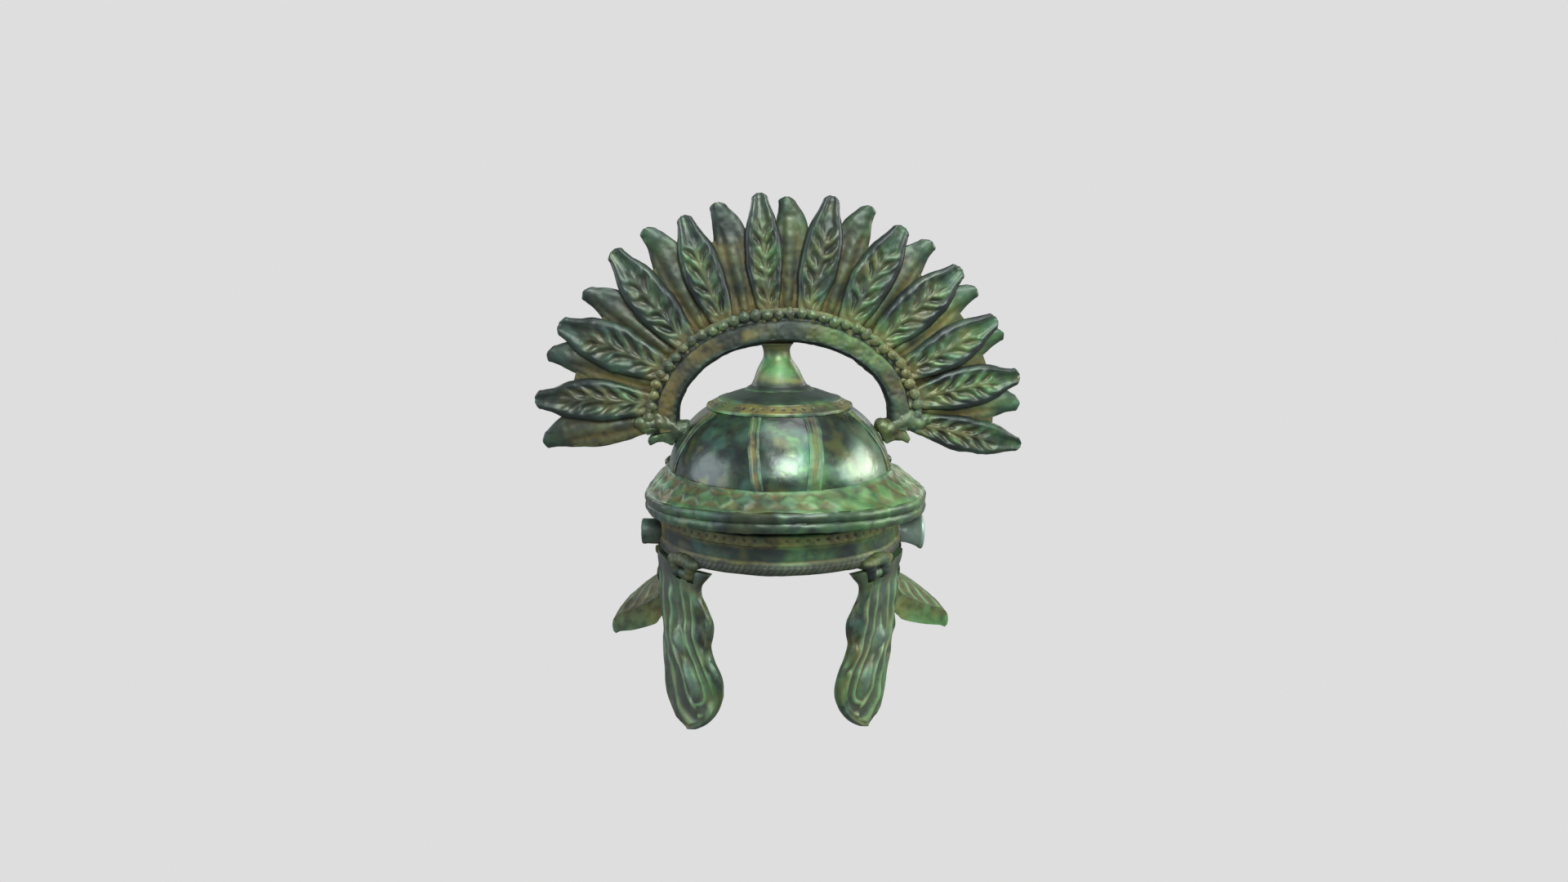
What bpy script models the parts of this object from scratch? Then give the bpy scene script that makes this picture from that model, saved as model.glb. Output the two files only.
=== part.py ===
"""Centurion's helmet in cast bronze, with a transverse crest of two rows of feathers.

Metres, +Z up. The wearer faces -Y, and X runs across the helmet.
The origin is the middle of the head opening, level with the lower edge of the brow band.
Every ring round the head is drawn on a circle and then stretched along Y by HEAD_STRETCH,
so that pieces which share a radius keep the same gap all the way round.
Azimuth is 0 degrees at the brow, 90 at the side and 180 at the nape.
"""

import math

import bmesh
import bpy
from mathutils import Vector

# Gaps between pieces
SEAT_GAP = 0.0003
FACET_GAP = 0.0006
PIN_GAP = 0.0005
HINGE_END_GAP = 0.0005

# Bowl
BOWL_WIDTH = 0.216
BOWL_LENGTH = 0.2268
DOME_HEIGHT = 0.082
DOME_BASE_Z = 0.0725
BOWL_WALL = 0.0028
SKIRT_FLARE = 0.004
SKIRT_SHOULDER_Z = 0.040
BROW_CUT_Z = 0.002
EAR_CUT_Y = 0.004
NAPE_DROP = 0.046
AZIMUTH_STEP = 7.5
DOME_STEPS = 8

# Straps over the bowl
STRAP_WIDTH = 0.0095
STRAP_THICKNESS = 0.0018
STRAP_STEPS = 6

# Crown plate and crest post
CROWN_RADIUS = 0.071
CROWN_RIM_WIDTH = 0.013
CROWN_THICKNESS = 0.0018
CROWN_RIM_RISE = 0.0014
POST_HEIGHT = 0.0424
POST_DISC_RADIUS = 0.038
POST_DISC_THICKNESS = 0.0022
POST_FOOT_RADIUS = 0.029
POST_NECK_RADIUS = 0.0127
POST_TOP_RADIUS = 0.0150
POST_SIDES = 20
POST_LEAN = -0.0028

# Crest arch
ARCH_HALF_SPAN = 0.1012
ARCH_RISE = 0.0716
ARCH_BAND = 0.0190
ARCH_DEPTH = 0.0220
ARCH_END_ANGLE = -9.0
ARCH_STEPS = 32
FIN_REACH = 0.086
FIN_THICKNESS = 0.0016
CREST_SHIFT = 0.0044

# Feathers
CREST_HALF_WIDTH = 0.2395
CREST_HEIGHT = 0.2110
FEATHER_HALF_WIDTH = 0.0205
REAR_FEATHER_HALF_WIDTH = 0.0165
FEATHER_DEPTH = 0.0088

# Crest feet
FOOT_DEPTH = 0.018
FOOT_LENGTH = 0.0245
FOOT_HEIGHT = 0.0165

# Peak
PEAK_REACH = 0.0290
PEAK_SHIFT = 0.0060
PEAK_TOP_Z = 0.0740
PEAK_SLOPE_DROP = 0.0125
PEAK_EDGE_HEIGHT = 0.0180
PEAK_SEAT_HEIGHT = 0.0080
PEAK_SIDE_DIP = 0.0070
PEAK_SIDE_RISE = 0.0044
PEAK_END_AZIMUTH = 120.0
KNOB_RADIUS = 0.0070
KNOB_HEIGHT = 0.0085
KNOB_AZIMUTH = 112.5

# Brow band
BAND_HEIGHT = 0.0365
BAND_THICKNESS = 0.0042
BAND_ROLL_HEIGHT = 0.0095
BAND_ROLL_BULGE = 0.0026
BAND_END_AZIMUTH = 82.5

# Side bosses, the right one larger as in the casting
BOSS_Z = 0.012
BOSS_NECK_RADIUS = 0.0085
LEFT_BOSS_RADIUS = 0.0125
LEFT_BOSS_LENGTH = 0.0235
RIGHT_BOSS_RADIUS = 0.0170
RIGHT_BOSS_LENGTH = 0.0300

# Ear guards
EAR_GUARD_REACH = 0.0185
EAR_GUARD_HEIGHT = 0.043
EAR_GUARD_THICKNESS = 0.005

# Neck guard
NECK_HALF_WIDTH = 0.1748
NECK_SHIFT = 0.0035
NECK_LENGTH = 0.200
NECK_START_AZIMUTH = 97.5
NECK_ROOT_TOP_Z = -0.036
NECK_SIDE_EDGE_Z = -0.086
NECK_REAR_EDGE_Z = -0.062
NECK_PLATE = 0.004
NECK_LIP_HEIGHT = 0.0165
NECK_LIP_WIDTH = 0.008

# Cheek guards and their hinges
CHEEK_STAND_OFF = 0.0045
CHEEK_SPAN = 54.1
CHEEK_LENGTH = 0.1610
LEFT_CHEEK_LEAN = 1.0
RIGHT_CHEEK_LEAN = 4.0
CHEEK_WALL = 0.0052
CHEEK_BORDER_DROP = 0.0022
LEFT_HINGE_AZIMUTH = 51.0
RIGHT_HINGE_AZIMUTH = 46.0
HINGE_AXIS_Z = -0.0090
HINGE_LENGTH = 0.026
HINGE_RADIUS = 0.0055
HINGE_MIDDLE_LENGTH = 0.011
HINGE_BRIDGE_THICKNESS = 0.0030
HINGE_BRIDGE_WIDTH = 0.0110
HINGE_WEB_THICKNESS = 0.0050
HINGE_BRIDGE_INSET = 0.0015
HINGE_WEB_INSET = 0.0010
HINGE_NOTCH_GAP = 0.0015
PIN_RADIUS = 0.0018

HEAD_STRETCH = BOWL_LENGTH / BOWL_WIDTH
BOWL_RADIUS = BOWL_WIDTH / 2
SKIRT_RADIUS = BOWL_RADIUS + SKIRT_FLARE
CHEEK_RADIUS = SKIRT_RADIUS + CHEEK_STAND_OFF
APEX_Z = DOME_BASE_Z + DOME_HEIGHT
ARCH_CENTRE_Z = APEX_Z + POST_HEIGHT - ARCH_RISE
SMOOTH_ANGLE = 35.0

# Feather tables: root and tip are directions from the arch's centre in degrees, 0 at the right
# (+X) and 90 upwards. Reach is a share of the crest's outline, and width of the half width.
FRONT_FEATHERS = (
    {"root": 173.6, "tip": 175.6, "reach": 1.00, "width": 1.00},
    {"root": 158.6, "tip": 157.3, "reach": 0.99, "width": 1.10},
    {"root": 143.6, "tip": 135.6, "reach": 1.01, "width": 1.00},
    {"root": 123.8, "tip": 116.5, "reach": 0.99, "width": 0.92},
    {"root": 98.8, "tip": 96.3, "reach": 1.01, "width": 0.88},
    {"root": 77.0, "tip": 77.7, "reach": 1.01, "width": 0.92},
    {"root": 54.8, "tip": 57.9, "reach": 0.98, "width": 1.02},
    {"root": 37.7, "tip": 39.9, "reach": 0.98, "width": 1.06},
    {"root": 19.3, "tip": 24.4, "reach": 0.97, "width": 0.98},
    {"root": 7.2, "tip": 9.4, "reach": 0.98, "width": 1.00},
    {"root": -2.6, "tip": -7.4, "reach": 0.99, "width": 0.85},
)
REAR_FEATHERS = (
    {"root": 181.0, "tip": 184.9, "reach": 0.98, "width": 1.05},
    {"root": 166.0, "tip": 163.8, "reach": 0.99, "width": 1.00},
    {"root": 151.0, "tip": 146.8, "reach": 0.98, "width": 1.00},
    {"root": 134.0, "tip": 125.4, "reach": 1.01, "width": 1.00},
    {"root": 111.0, "tip": 106.7, "reach": 1.00, "width": 1.00},
    {"root": 88.0, "tip": 88.5, "reach": 0.99, "width": 1.00},
    {"root": 66.0, "tip": 68.5, "reach": 1.01, "width": 1.00},
    {"root": 46.0, "tip": 50.7, "reach": 0.99, "width": 1.00},
    {"root": 28.5, "tip": 34.3, "reach": 0.97, "width": 0.95},
    {"root": 13.0, "tip": 21.4, "reach": 0.97, "width": 0.95},
    {"root": 1.0, "tip": 3.5, "reach": 0.97, "width": 1.00},
)
# One feather from root to tip: along is the share of its length, width and depth are shares.
FEATHER_SECTIONS = (
    {"along": 0.00, "width": 0.40, "depth": 0.75},
    {"along": 0.16, "width": 0.66, "depth": 0.90},
    {"along": 0.38, "width": 0.95, "depth": 1.00},
    {"along": 0.58, "width": 1.00, "depth": 1.00},
    {"along": 0.76, "width": 0.84, "depth": 0.92},
    {"along": 0.90, "width": 0.46, "depth": 0.75},
    {"along": 1.00, "width": 0.20, "depth": 0.55},
)
# The peak's section: out is a share of the reach. Level "top" is a share of the slope's drop,
# and "edge" of the edge's height below the slope.
PEAK_SECTION = (
    {"out": 0.60, "level": "top", "down": 0.62},
    {"out": 0.90, "level": "top", "down": 1.00},
    {"out": 1.00, "level": "edge", "down": 0.14},
    {"out": 1.00, "level": "edge", "down": 0.38},
    {"out": 0.93, "level": "edge", "down": 0.50},
    {"out": 1.00, "level": "edge", "down": 0.62},
    {"out": 0.98, "level": "edge", "down": 0.88},
    {"out": 0.86, "level": "edge", "down": 1.00},
    {"out": 0.68, "level": "edge", "down": 0.86},
    {"out": 0.60, "level": "edge", "down": 0.30},
)
# A cheek guard from top to chin: drop is a share of its length. Front and rear are the edges'
# places round the head as shares of its span in degrees, measured from the hinge's middle.
CHEEK_ROWS = (
    {"drop": 0.024, "front": -0.349, "rear": 0.681},
    {"drop": 0.060, "front": -0.260, "rear": 0.686},
    {"drop": 0.105, "front": -0.198, "rear": 0.692},
    {"drop": 0.160, "front": -0.187, "rear": 0.697},
    {"drop": 0.243, "front": -0.252, "rear": 0.697},
    {"drop": 0.322, "front": -0.308, "rear": 0.697},
    {"drop": 0.388, "front": -0.304, "rear": 0.690},
    {"drop": 0.455, "front": -0.279, "rear": 0.672},
    {"drop": 0.533, "front": -0.308, "rear": 0.653},
    {"drop": 0.618, "front": -0.374, "rear": 0.616},
    {"drop": 0.697, "front": -0.402, "rear": 0.560},
    {"drop": 0.788, "front": -0.374, "rear": 0.494},
    {"drop": 0.873, "front": -0.290, "rear": 0.392},
    {"drop": 0.945, "front": -0.159, "rear": 0.261},
    {"drop": 1.000, "front": -0.010, "rear": 0.094},
)
# Across a cheek guard from the front edge: lift is 0 on the low border and 1 on the raised panel.
CHEEK_ACROSS = (
    {"share": 0.00, "lift": 0.0},
    {"share": 0.13, "lift": 0.0},
    {"share": 0.20, "lift": 1.0},
    {"share": 0.40, "lift": 1.0},
    {"share": 0.60, "lift": 1.0},
    {"share": 0.80, "lift": 1.0},
    {"share": 0.93, "lift": 1.0},
    {"share": 1.00, "lift": 0.0},
)
# Straps: azimuths at the foot and the top, and whether the peak's slope ends them.
STRAPS = (
    {"name": "front_left", "foot": -13.0, "top": -20.0, "on_peak": True},
    {"name": "front_right", "foot": 13.0, "top": 20.0, "on_peak": True},
    {"name": "side_left", "foot": -71.0, "top": -62.0, "on_peak": True},
    {"name": "side_right", "foot": 71.0, "top": 62.0, "on_peak": True},
    {"name": "nape_left", "foot": -167.0, "top": -160.0, "on_peak": False},
    {"name": "nape_right", "foot": 167.0, "top": 160.0, "on_peak": False},
    {"name": "rear_side_left", "foot": -126.0, "top": -118.0, "on_peak": False},
    {"name": "rear_side_right", "foot": 126.0, "top": 118.0, "on_peak": False},
)

SIDES = {"left": -1, "right": 1}
HINGE_AZIMUTHS = {"left": LEFT_HINGE_AZIMUTH, "right": RIGHT_HINGE_AZIMUTH}
CHEEK_LEANS = {"left": LEFT_CHEEK_LEAN, "right": RIGHT_CHEEK_LEAN}
FINISHES = {
    "dark bronze": {"colour": (0.045, 0.070, 0.058), "roughness": 0.32, "metallic": 0.75},
    "green bronze": {"colour": (0.080, 0.170, 0.095), "roughness": 0.45, "metallic": 0.55},
    "brown bronze": {"colour": (0.130, 0.105, 0.045), "roughness": 0.50, "metallic": 0.60},
}


def clear_scene():
    for old in list(bpy.data.objects):
        bpy.data.objects.remove(old)


def collection(name):
    made = bpy.data.collections.new(name)
    bpy.context.scene.collection.children.link(made)
    return made


def finish_material(name, finish):
    values = FINISHES[finish]
    material = bpy.data.materials.new(name + "_finish")
    material.use_nodes = True
    shader = material.node_tree.nodes["Principled BSDF"]
    shader.inputs["Base Color"].default_value = (*values["colour"], 1.0)
    shader.inputs["Roughness"].default_value = values["roughness"]
    shader.inputs["Metallic"].default_value = values["metallic"]
    return material


def place(name, data, finish):
    """Links a mesh or curve as a named piece of the helmet."""
    piece = bpy.data.objects.new(name, data)
    data.materials.append(finish_material(name, finish))
    HELMET.objects.link(piece)
    return piece


def place_tool(name, data):
    """Links a shape that a Boolean reads, which isn't a piece itself."""
    tool = bpy.data.objects.new(name, data)
    tool.hide_render = True
    tool.display_type = "WIRE"
    TOOLS.objects.link(tool)
    return tool


def boolean(piece, tool, operation):
    step = piece.modifiers.new(tool.name, "BOOLEAN")
    step.object = tool
    step.operation = operation
    step.solver = "EXACT"


def tidy_mesh(name, shape):
    """Turns a bmesh into a mesh with its faces pointing out and its smooth parts smooth."""
    shape.normal_update()
    bmesh.ops.recalc_face_normals(shape, faces=shape.faces)
    if shape.calc_volume(signed=True) < 0:
        bmesh.ops.reverse_faces(shape, faces=shape.faces)
    mesh = bpy.data.meshes.new(name)
    shape.to_mesh(mesh)
    shape.free()
    mesh.shade_smooth()
    mesh.set_sharp_from_angle(angle=math.radians(SMOOTH_ANGLE))
    return mesh


def loft(name, rings, strip_caps=False):
    """A closed solid through rings of equal length. Strip caps suit a thin, bent section."""
    shape = bmesh.new()
    loops = [[shape.verts.new(point) for point in ring] for ring in rings]
    count = len(loops[0])
    for low, high in zip(loops, loops[1:]):
        for i in range(count):
            j = (i + 1) % count
            shape.faces.new((low[i], low[j], high[j], high[i]))
    for loop in (loops[0], loops[-1]):
        if strip_caps:
            for i in range(count // 2 - 1):
                shape.faces.new((loop[i], loop[i + 1], loop[-2 - i], loop[-1 - i]))
        else:
            shape.faces.new(loop)
    return tidy_mesh(name, shape)


def turned(name, profile, steps, stretch=1.0):
    """Turns a closed profile of (radius, height) pairs round Z, then stretches it along Y."""
    outline = bpy.data.meshes.new(name + "_profile")
    on_axis = profile[0][0] == 0 and profile[-1][0] == 0
    count = len(profile)
    edges = [(i, i + 1) for i in range(count - 1)]
    if not on_axis:
        edges.append((count - 1, 0))
    outline.from_pydata([(radius, 0, height) for radius, height in profile], edges, [])
    guide = bpy.data.objects.new(name + "_profile", outline)
    TOOLS.objects.link(guide)
    screw = guide.modifiers.new("turn", "SCREW")
    screw.axis = "Z"
    screw.angle = 2 * math.pi
    screw.steps = steps
    screw.render_steps = steps
    screw.use_merge_vertices = True
    screw.merge_threshold = 0.0001
    bpy.context.view_layer.update()
    evaluated = guide.evaluated_get(bpy.context.evaluated_depsgraph_get())
    mesh = bpy.data.meshes.new_from_object(evaluated)
    bpy.data.objects.remove(guide)
    shape = bmesh.new()
    shape.from_mesh(mesh)
    bmesh.ops.remove_doubles(shape, verts=shape.verts, dist=0.00001)
    for vertex in shape.verts:
        vertex.co.y *= stretch
    return tidy_mesh(name, shape)


def cylinder_between(name, start, end, radius, sides=16):
    """A closed cylinder whose axis runs from start to end."""
    axis = end - start
    shape = bmesh.new()
    bmesh.ops.create_cone(
        shape, cap_ends=True, segments=sides, radius1=radius, radius2=radius, depth=axis.length
    )
    turn = axis.to_track_quat("Z", "Y").to_matrix().to_4x4()
    bmesh.ops.transform(shape, matrix=turn, verts=shape.verts)
    bmesh.ops.translate(shape, vec=(start + end) / 2, verts=shape.verts)
    return tidy_mesh(name, shape)


def block(name, centre, along, across, size):
    """A box centred at a point: size is (along, across, up)."""
    shape = bmesh.new()
    bmesh.ops.create_cube(shape, size=1.0)
    for vertex in shape.verts:
        local = vertex.co.copy()
        vertex.co = (
            centre
            + along * (local.x * size[0])
            + across * (local.y * size[1])
            + Vector((0, 0, local.z * size[2]))
        )
    return tidy_mesh(name, shape)


def ring_point(radius, azimuth, height):
    """A point on the stretched circle round the head."""
    angle = math.radians(azimuth)
    return Vector((radius * math.sin(angle), -HEAD_STRETCH * radius * math.cos(angle), height))


def azimuths(start, end):
    """Azimuths from start to end on the bowl's own facets."""
    count = round((end - start) / AZIMUTH_STEP)
    return [start + (end - start) * i / count for i in range(count + 1)]


def dome_radius(height, lift=0.0):
    """The bowl's outer radius at a height on the dome, lifted by a clearance."""
    share = min(1.0, max(0.0, (height - DOME_BASE_Z) / (DOME_HEIGHT + lift)))
    return (BOWL_RADIUS + lift) * math.sqrt(1 - share * share)


def dome_height(radius, lift=0.0):
    share = min(1.0, radius / (BOWL_RADIUS + lift))
    return DOME_BASE_Z + (DOME_HEIGHT + lift) * math.sqrt(1 - share * share)


def dome_point(azimuth, climb, lift):
    """A point on the dome, climb degrees above its base, lifted off the surface."""
    angle = math.radians(climb)
    radius = (BOWL_RADIUS + lift) * math.cos(angle)
    height = DOME_BASE_Z + (DOME_HEIGHT + lift) * math.sin(angle)
    return ring_point(radius, azimuth, height)


def skirt_radius(height):
    """The bowl's outer radius below the dome."""
    share = (DOME_BASE_Z - height) / (DOME_BASE_Z - SKIRT_SHOULDER_Z)
    return BOWL_RADIUS + SKIRT_FLARE * min(1.0, max(0.0, share))


def side_swell(azimuth):
    """0 at brow and nape, 1 at the sides."""
    return math.sin(math.radians(azimuth)) ** 2


def dome_climbs():
    """The bowl's rings of facets, in degrees above its base, from the apex down."""
    return [90 - 90 * i / DOME_STEPS for i in range(DOME_STEPS + 1)]


def make_bowl():
    profile = []
    for wall in (0.0, BOWL_WALL):
        line = [
            (
                (BOWL_RADIUS - wall) * math.cos(math.radians(climb)) if climb < 90 else 0.0,
                DOME_BASE_Z + (DOME_HEIGHT - wall) * math.sin(math.radians(climb)),
            )
            for climb in dome_climbs()
        ]
        line.append((SKIRT_RADIUS - wall, SKIRT_SHOULDER_Z))
        line.append((SKIRT_RADIUS - wall, -NAPE_DROP))
        profile += line if wall == 0.0 else line[::-1]
    mesh = turned("bowl", profile, round(360 / AZIMUTH_STEP), HEAD_STRETCH)
    bowl = place("bowl", mesh, "dark bronze")
    reach = BOWL_LENGTH
    face_centre = Vector((0, EAR_CUT_Y - reach / 2, BROW_CUT_Z - NAPE_DROP))
    face = block("face_cut", face_centre, Vector((1, 0, 0)), Vector((0, 1, 0)),
                 (2 * BOWL_WIDTH, reach, 2 * NAPE_DROP))
    boolean(bowl, place_tool("face_cut", face), "DIFFERENCE")


def make_straps():
    crown_climb = math.degrees(math.acos((CROWN_RADIUS + 2 * FACET_GAP) / BOWL_RADIUS))
    for strap in STRAPS:
        foot_z = DOME_BASE_Z
        if strap["on_peak"]:
            foot_z = peak_top_height(strap["foot"]) + 2 * FACET_GAP
        foot_climb = math.degrees(math.asin((foot_z - DOME_BASE_Z) / DOME_HEIGHT))
        rings = []
        for i in range(STRAP_STEPS + 1):
            share = i / STRAP_STEPS
            climb = foot_climb + (crown_climb - foot_climb) * share
            azimuth = strap["foot"] + (strap["top"] - strap["foot"]) * share
            radius = BOWL_RADIUS * math.cos(math.radians(climb))
            half = math.degrees(STRAP_WIDTH / 2 / radius)
            low, high = FACET_GAP, FACET_GAP + STRAP_THICKNESS
            corners = (
                (-half, low), (half, low), (half, high), (0.35 * half, high),
                (0, high - 0.4 * STRAP_THICKNESS), (-0.35 * half, high), (-half, high),
            )
            rings.append([dome_point(azimuth + turn, climb, lift) for turn, lift in corners])
        place("strap_" + strap["name"], loft("strap_" + strap["name"], rings), "green bronze")


def make_crown_plate():
    inner = 0.6 * POST_DISC_RADIUS
    rim = CROWN_RADIUS - CROWN_RIM_WIDTH
    under, top = SEAT_GAP, SEAT_GAP + CROWN_THICKNESS
    profile = [(inner, dome_height(inner, top))]
    profile += [(rim, dome_height(rim, top))]
    raised = top + CROWN_RIM_RISE
    profile += [(r, dome_height(r, raised)) for r in (rim + CROWN_RIM_RISE, CROWN_RADIUS - CROWN_RIM_RISE)]
    profile += [(CROWN_RADIUS, dome_height(CROWN_RADIUS, top))]
    profile += [(CROWN_RADIUS, dome_height(CROWN_RADIUS, 2 * under))]
    bowl_rings = [BOWL_RADIUS * math.cos(math.radians(climb)) for climb in dome_climbs()]
    seats = [r for r in reversed(bowl_rings) if inner < r < CROWN_RADIUS] + [inner]
    profile += [(r, dome_height(r, 2 * under)) for r in seats]
    mesh = turned("crown_plate", profile, round(360 / AZIMUTH_STEP), HEAD_STRETCH)
    place("crown_plate", mesh, "green bronze")


def make_crest_post():
    base = SEAT_GAP + CROWN_THICKNESS + FACET_GAP
    disc_top = base + POST_DISC_THICKNESS
    top = ARCH_CENTRE_Z + ARCH_RISE - FACET_GAP
    shoulder = dome_height(POST_FOOT_RADIUS, disc_top)
    stem = top - shoulder
    profile = [
        (0, top),
        (POST_TOP_RADIUS, top),
        (POST_NECK_RADIUS, top - 0.10 * stem),
        (POST_NECK_RADIUS, top - 0.38 * stem),
        (POST_NECK_RADIUS + 0.12 * (POST_FOOT_RADIUS - POST_NECK_RADIUS), top - 0.55 * stem),
        (POST_NECK_RADIUS + 0.36 * (POST_FOOT_RADIUS - POST_NECK_RADIUS), top - 0.70 * stem),
        (POST_NECK_RADIUS + 0.68 * (POST_FOOT_RADIUS - POST_NECK_RADIUS), top - 0.86 * stem),
        (POST_FOOT_RADIUS, shoulder),
        (POST_DISC_RADIUS, dome_height(POST_DISC_RADIUS, disc_top)),
        (POST_DISC_RADIUS, dome_height(POST_DISC_RADIUS, base)),
        (POST_FOOT_RADIUS, dome_height(POST_FOOT_RADIUS, base)),
        (POST_NECK_RADIUS, dome_height(POST_NECK_RADIUS, base)),
        (0, dome_height(0, base)),
    ]
    mesh = turned("crest_post", profile, POST_SIDES, HEAD_STRETCH)
    for vertex in mesh.vertices:
        at_top = vertex.co.z > top - 0.01 * stem
        vertex.co.x += POST_LEAN * max(0.0, vertex.co.z - shoulder) / stem
        if at_top:
            vertex.co.z = arch_underside(vertex.co.x) - FACET_GAP
    place("crest_post", mesh, "green bronze")


def arch_underside(x):
    share = (x - CREST_SHIFT) / ARCH_HALF_SPAN
    return ARCH_CENTRE_Z + ARCH_RISE * math.sqrt(1 - share * share)


def arch_point(angle, out, depth):
    """A point of the arch's section: angle is its place round the arch, out is from the hole."""
    turn = math.radians(angle)
    x = CREST_SHIFT + (ARCH_HALF_SPAN + out) * math.cos(turn)
    z = ARCH_CENTRE_Z + (ARCH_RISE + out) * math.sin(turn)
    return Vector((x, depth, z))


def make_crest_arch():
    """The arch, with a bead round its outer edge and the thin fin that the feathers are set on."""
    half = ARCH_DEPTH / 2
    fin = FIN_THICKNESS / ARCH_DEPTH
    fin_out = 1 + FIN_REACH / ARCH_BAND
    section = (
        (0.00, -0.78), (0.00, 0.78), (0.16, 0.94), (0.70, 0.94), (0.78, 1.12),
        (1.00, 1.12), (1.00, fin), (fin_out, fin), (fin_out, -fin), (1.00, -fin),
        (1.00, -1.12), (0.78, -1.12), (0.70, -0.94), (0.16, -0.94),
    )
    sweep = 180 - 2 * ARCH_END_ANGLE
    rings = []
    for i in range(ARCH_STEPS + 1):
        angle = ARCH_END_ANGLE + sweep * i / ARCH_STEPS
        rings.append([arch_point(angle, out * ARCH_BAND, deep * half) for out, deep in section])
    place("crest_arch", loft("crest_arch", rings), "brown bronze")


def on_ellipse(direction, half_width, half_height):
    """The point of an ellipse round the arch's centre that lies in a direction, in degrees."""
    turn = math.radians(direction)
    reach = 1 / math.hypot(math.cos(turn) / half_width, math.sin(turn) / half_height)
    return Vector((CREST_SHIFT + reach * math.cos(turn), 0, ARCH_CENTRE_Z + reach * math.sin(turn)))


def feather_mesh(name, feather, half_width, facing):
    """One feather lofted from the arch to its tip. Facing is -1 in the front row, 1 behind."""
    outer_width = ARCH_HALF_SPAN + ARCH_BAND + FACET_GAP
    outer_rise = ARCH_RISE + ARCH_BAND + FACET_GAP
    root = on_ellipse(feather["root"], outer_width, outer_rise)
    reach = feather["reach"]
    tip = on_ellipse(feather["tip"], CREST_HALF_WIDTH * reach, CREST_HEIGHT * reach)
    spine = tip - root
    square = Vector((spine.z, 0, -spine.x)).normalized()
    rise = root - Vector((CREST_SHIFT, 0, ARCH_CENTRE_Z))
    normal = Vector((rise.x / outer_width**2, 0, rise.z / outer_rise**2)).normalized()
    seat = Vector((normal.z, 0, -normal.x))
    rings = []
    for section in FEATHER_SECTIONS:
        along = section["along"]
        across = seat.lerp(square, min(1.0, along / 0.3)).normalized()
        width = half_width * feather["width"] * section["width"]
        depth = FEATHER_DEPTH * section["depth"]
        points = (
            (-0.92, 0.0), (-1.0, 0.45), (-0.55, 1.0), (0.0, 0.72), (0.55, 1.0), (1.0, 0.45), (0.92, 0.0),
        )
        ring = []
        for side, deep in points:
            y = facing * (FIN_THICKNESS / 2 + SEAT_GAP + deep * depth)
            ring.append(root + spine * along + across * (side * width) + Vector((0, y, 0)))
        rings.append(ring)
    return loft(name, rings)


def make_feathers():
    rows = (
        ("front", FRONT_FEATHERS, FEATHER_HALF_WIDTH, -1, "green bronze"),
        ("rear", REAR_FEATHERS, REAR_FEATHER_HALF_WIDTH, 1, "dark bronze"),
    )
    for row, feathers, half_width, facing, finish in rows:
        for number, feather in enumerate(feathers, start=1):
            name = f"feather_{row}_{number:02d}"
            place(name, feather_mesh(name, feather, half_width, facing), finish)


def make_crest_feet():
    """The two brackets that carry the arch's ends on the bowl."""
    knob = ((0.88, 0.34), (1.00, 0.62), (0.92, 0.98), (0.66, 0.76), (0.34, 0.74), (0.16, 0.86))
    for side_name, side in SIDES.items():
        end_angle = ARCH_END_ANGLE if side > 0 else 180 - ARCH_END_ANGLE
        end_in = arch_point(end_angle, 0, 0)
        end_out = arch_point(end_angle, ARCH_BAND, 0)
        slope = side * (end_out - end_in).normalized()
        down = Vector((slope.z, 0, -slope.x))
        top = [end_in + down * FACET_GAP, end_out + down * FACET_GAP]
        heel_z = top[0].z - 0.1 * FOOT_HEIGHT
        toe_z = top[0].z - FOOT_HEIGHT
        seat = [toe_z + (heel_z - toe_z) * i / 3 for i in range(4)]
        bowl_x = dome_radius(toe_z, FACET_GAP)
        outline = [(side * dome_radius(z, FACET_GAP), z) for z in seat]
        outline += [(point.x, point.z) for point in top]
        outline += [
            (side * (bowl_x + FOOT_LENGTH * out), top[0].z - FOOT_HEIGHT * low) for out, low in knob
        ]
        name = "crest_foot_" + side_name
        rings = [
            [Vector((x, depth, z)) for x, z in outline] for depth in (-FOOT_DEPTH / 2, FOOT_DEPTH / 2)
        ]
        place(name, loft(name, rings), "green bronze")


def peak_top_height(azimuth):
    return PEAK_TOP_Z + PEAK_SIDE_RISE * side_swell(azimuth)


def peak_foot_height(azimuth):
    """Where the peak's slope meets its rolled edge."""
    return PEAK_TOP_Z - PEAK_SLOPE_DROP - PEAK_SIDE_DIP * side_swell(azimuth)


def peak_point(out, azimuth, height):
    """A point of the peak, which reaches further on the right: out is a share of its reach."""
    return ring_point(BOWL_RADIUS + out * PEAK_REACH, azimuth, height) + Vector((out * PEAK_SHIFT, 0, 0))


def make_peak():
    rings = []
    for azimuth in azimuths(-PEAK_END_AZIMUTH, PEAK_END_AZIMUTH):
        top = peak_top_height(azimuth)
        slope_foot = peak_foot_height(azimuth)
        ring = [ring_point(dome_radius(top, FACET_GAP), azimuth, top)]
        for point in PEAK_SECTION:
            height = slope_foot - point["down"] * PEAK_EDGE_HEIGHT
            if point["level"] == "top":
                height = top + (slope_foot - top) * point["down"]
            ring.append(peak_point(point["out"], azimuth, height))
        for height in (DOME_BASE_Z - PEAK_SEAT_HEIGHT, DOME_BASE_Z):
            ring.append(ring_point(skirt_radius(height) + SEAT_GAP, azimuth, height))
        rings.append(ring)
    place("peak", loft("peak", rings), "green bronze")


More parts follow.
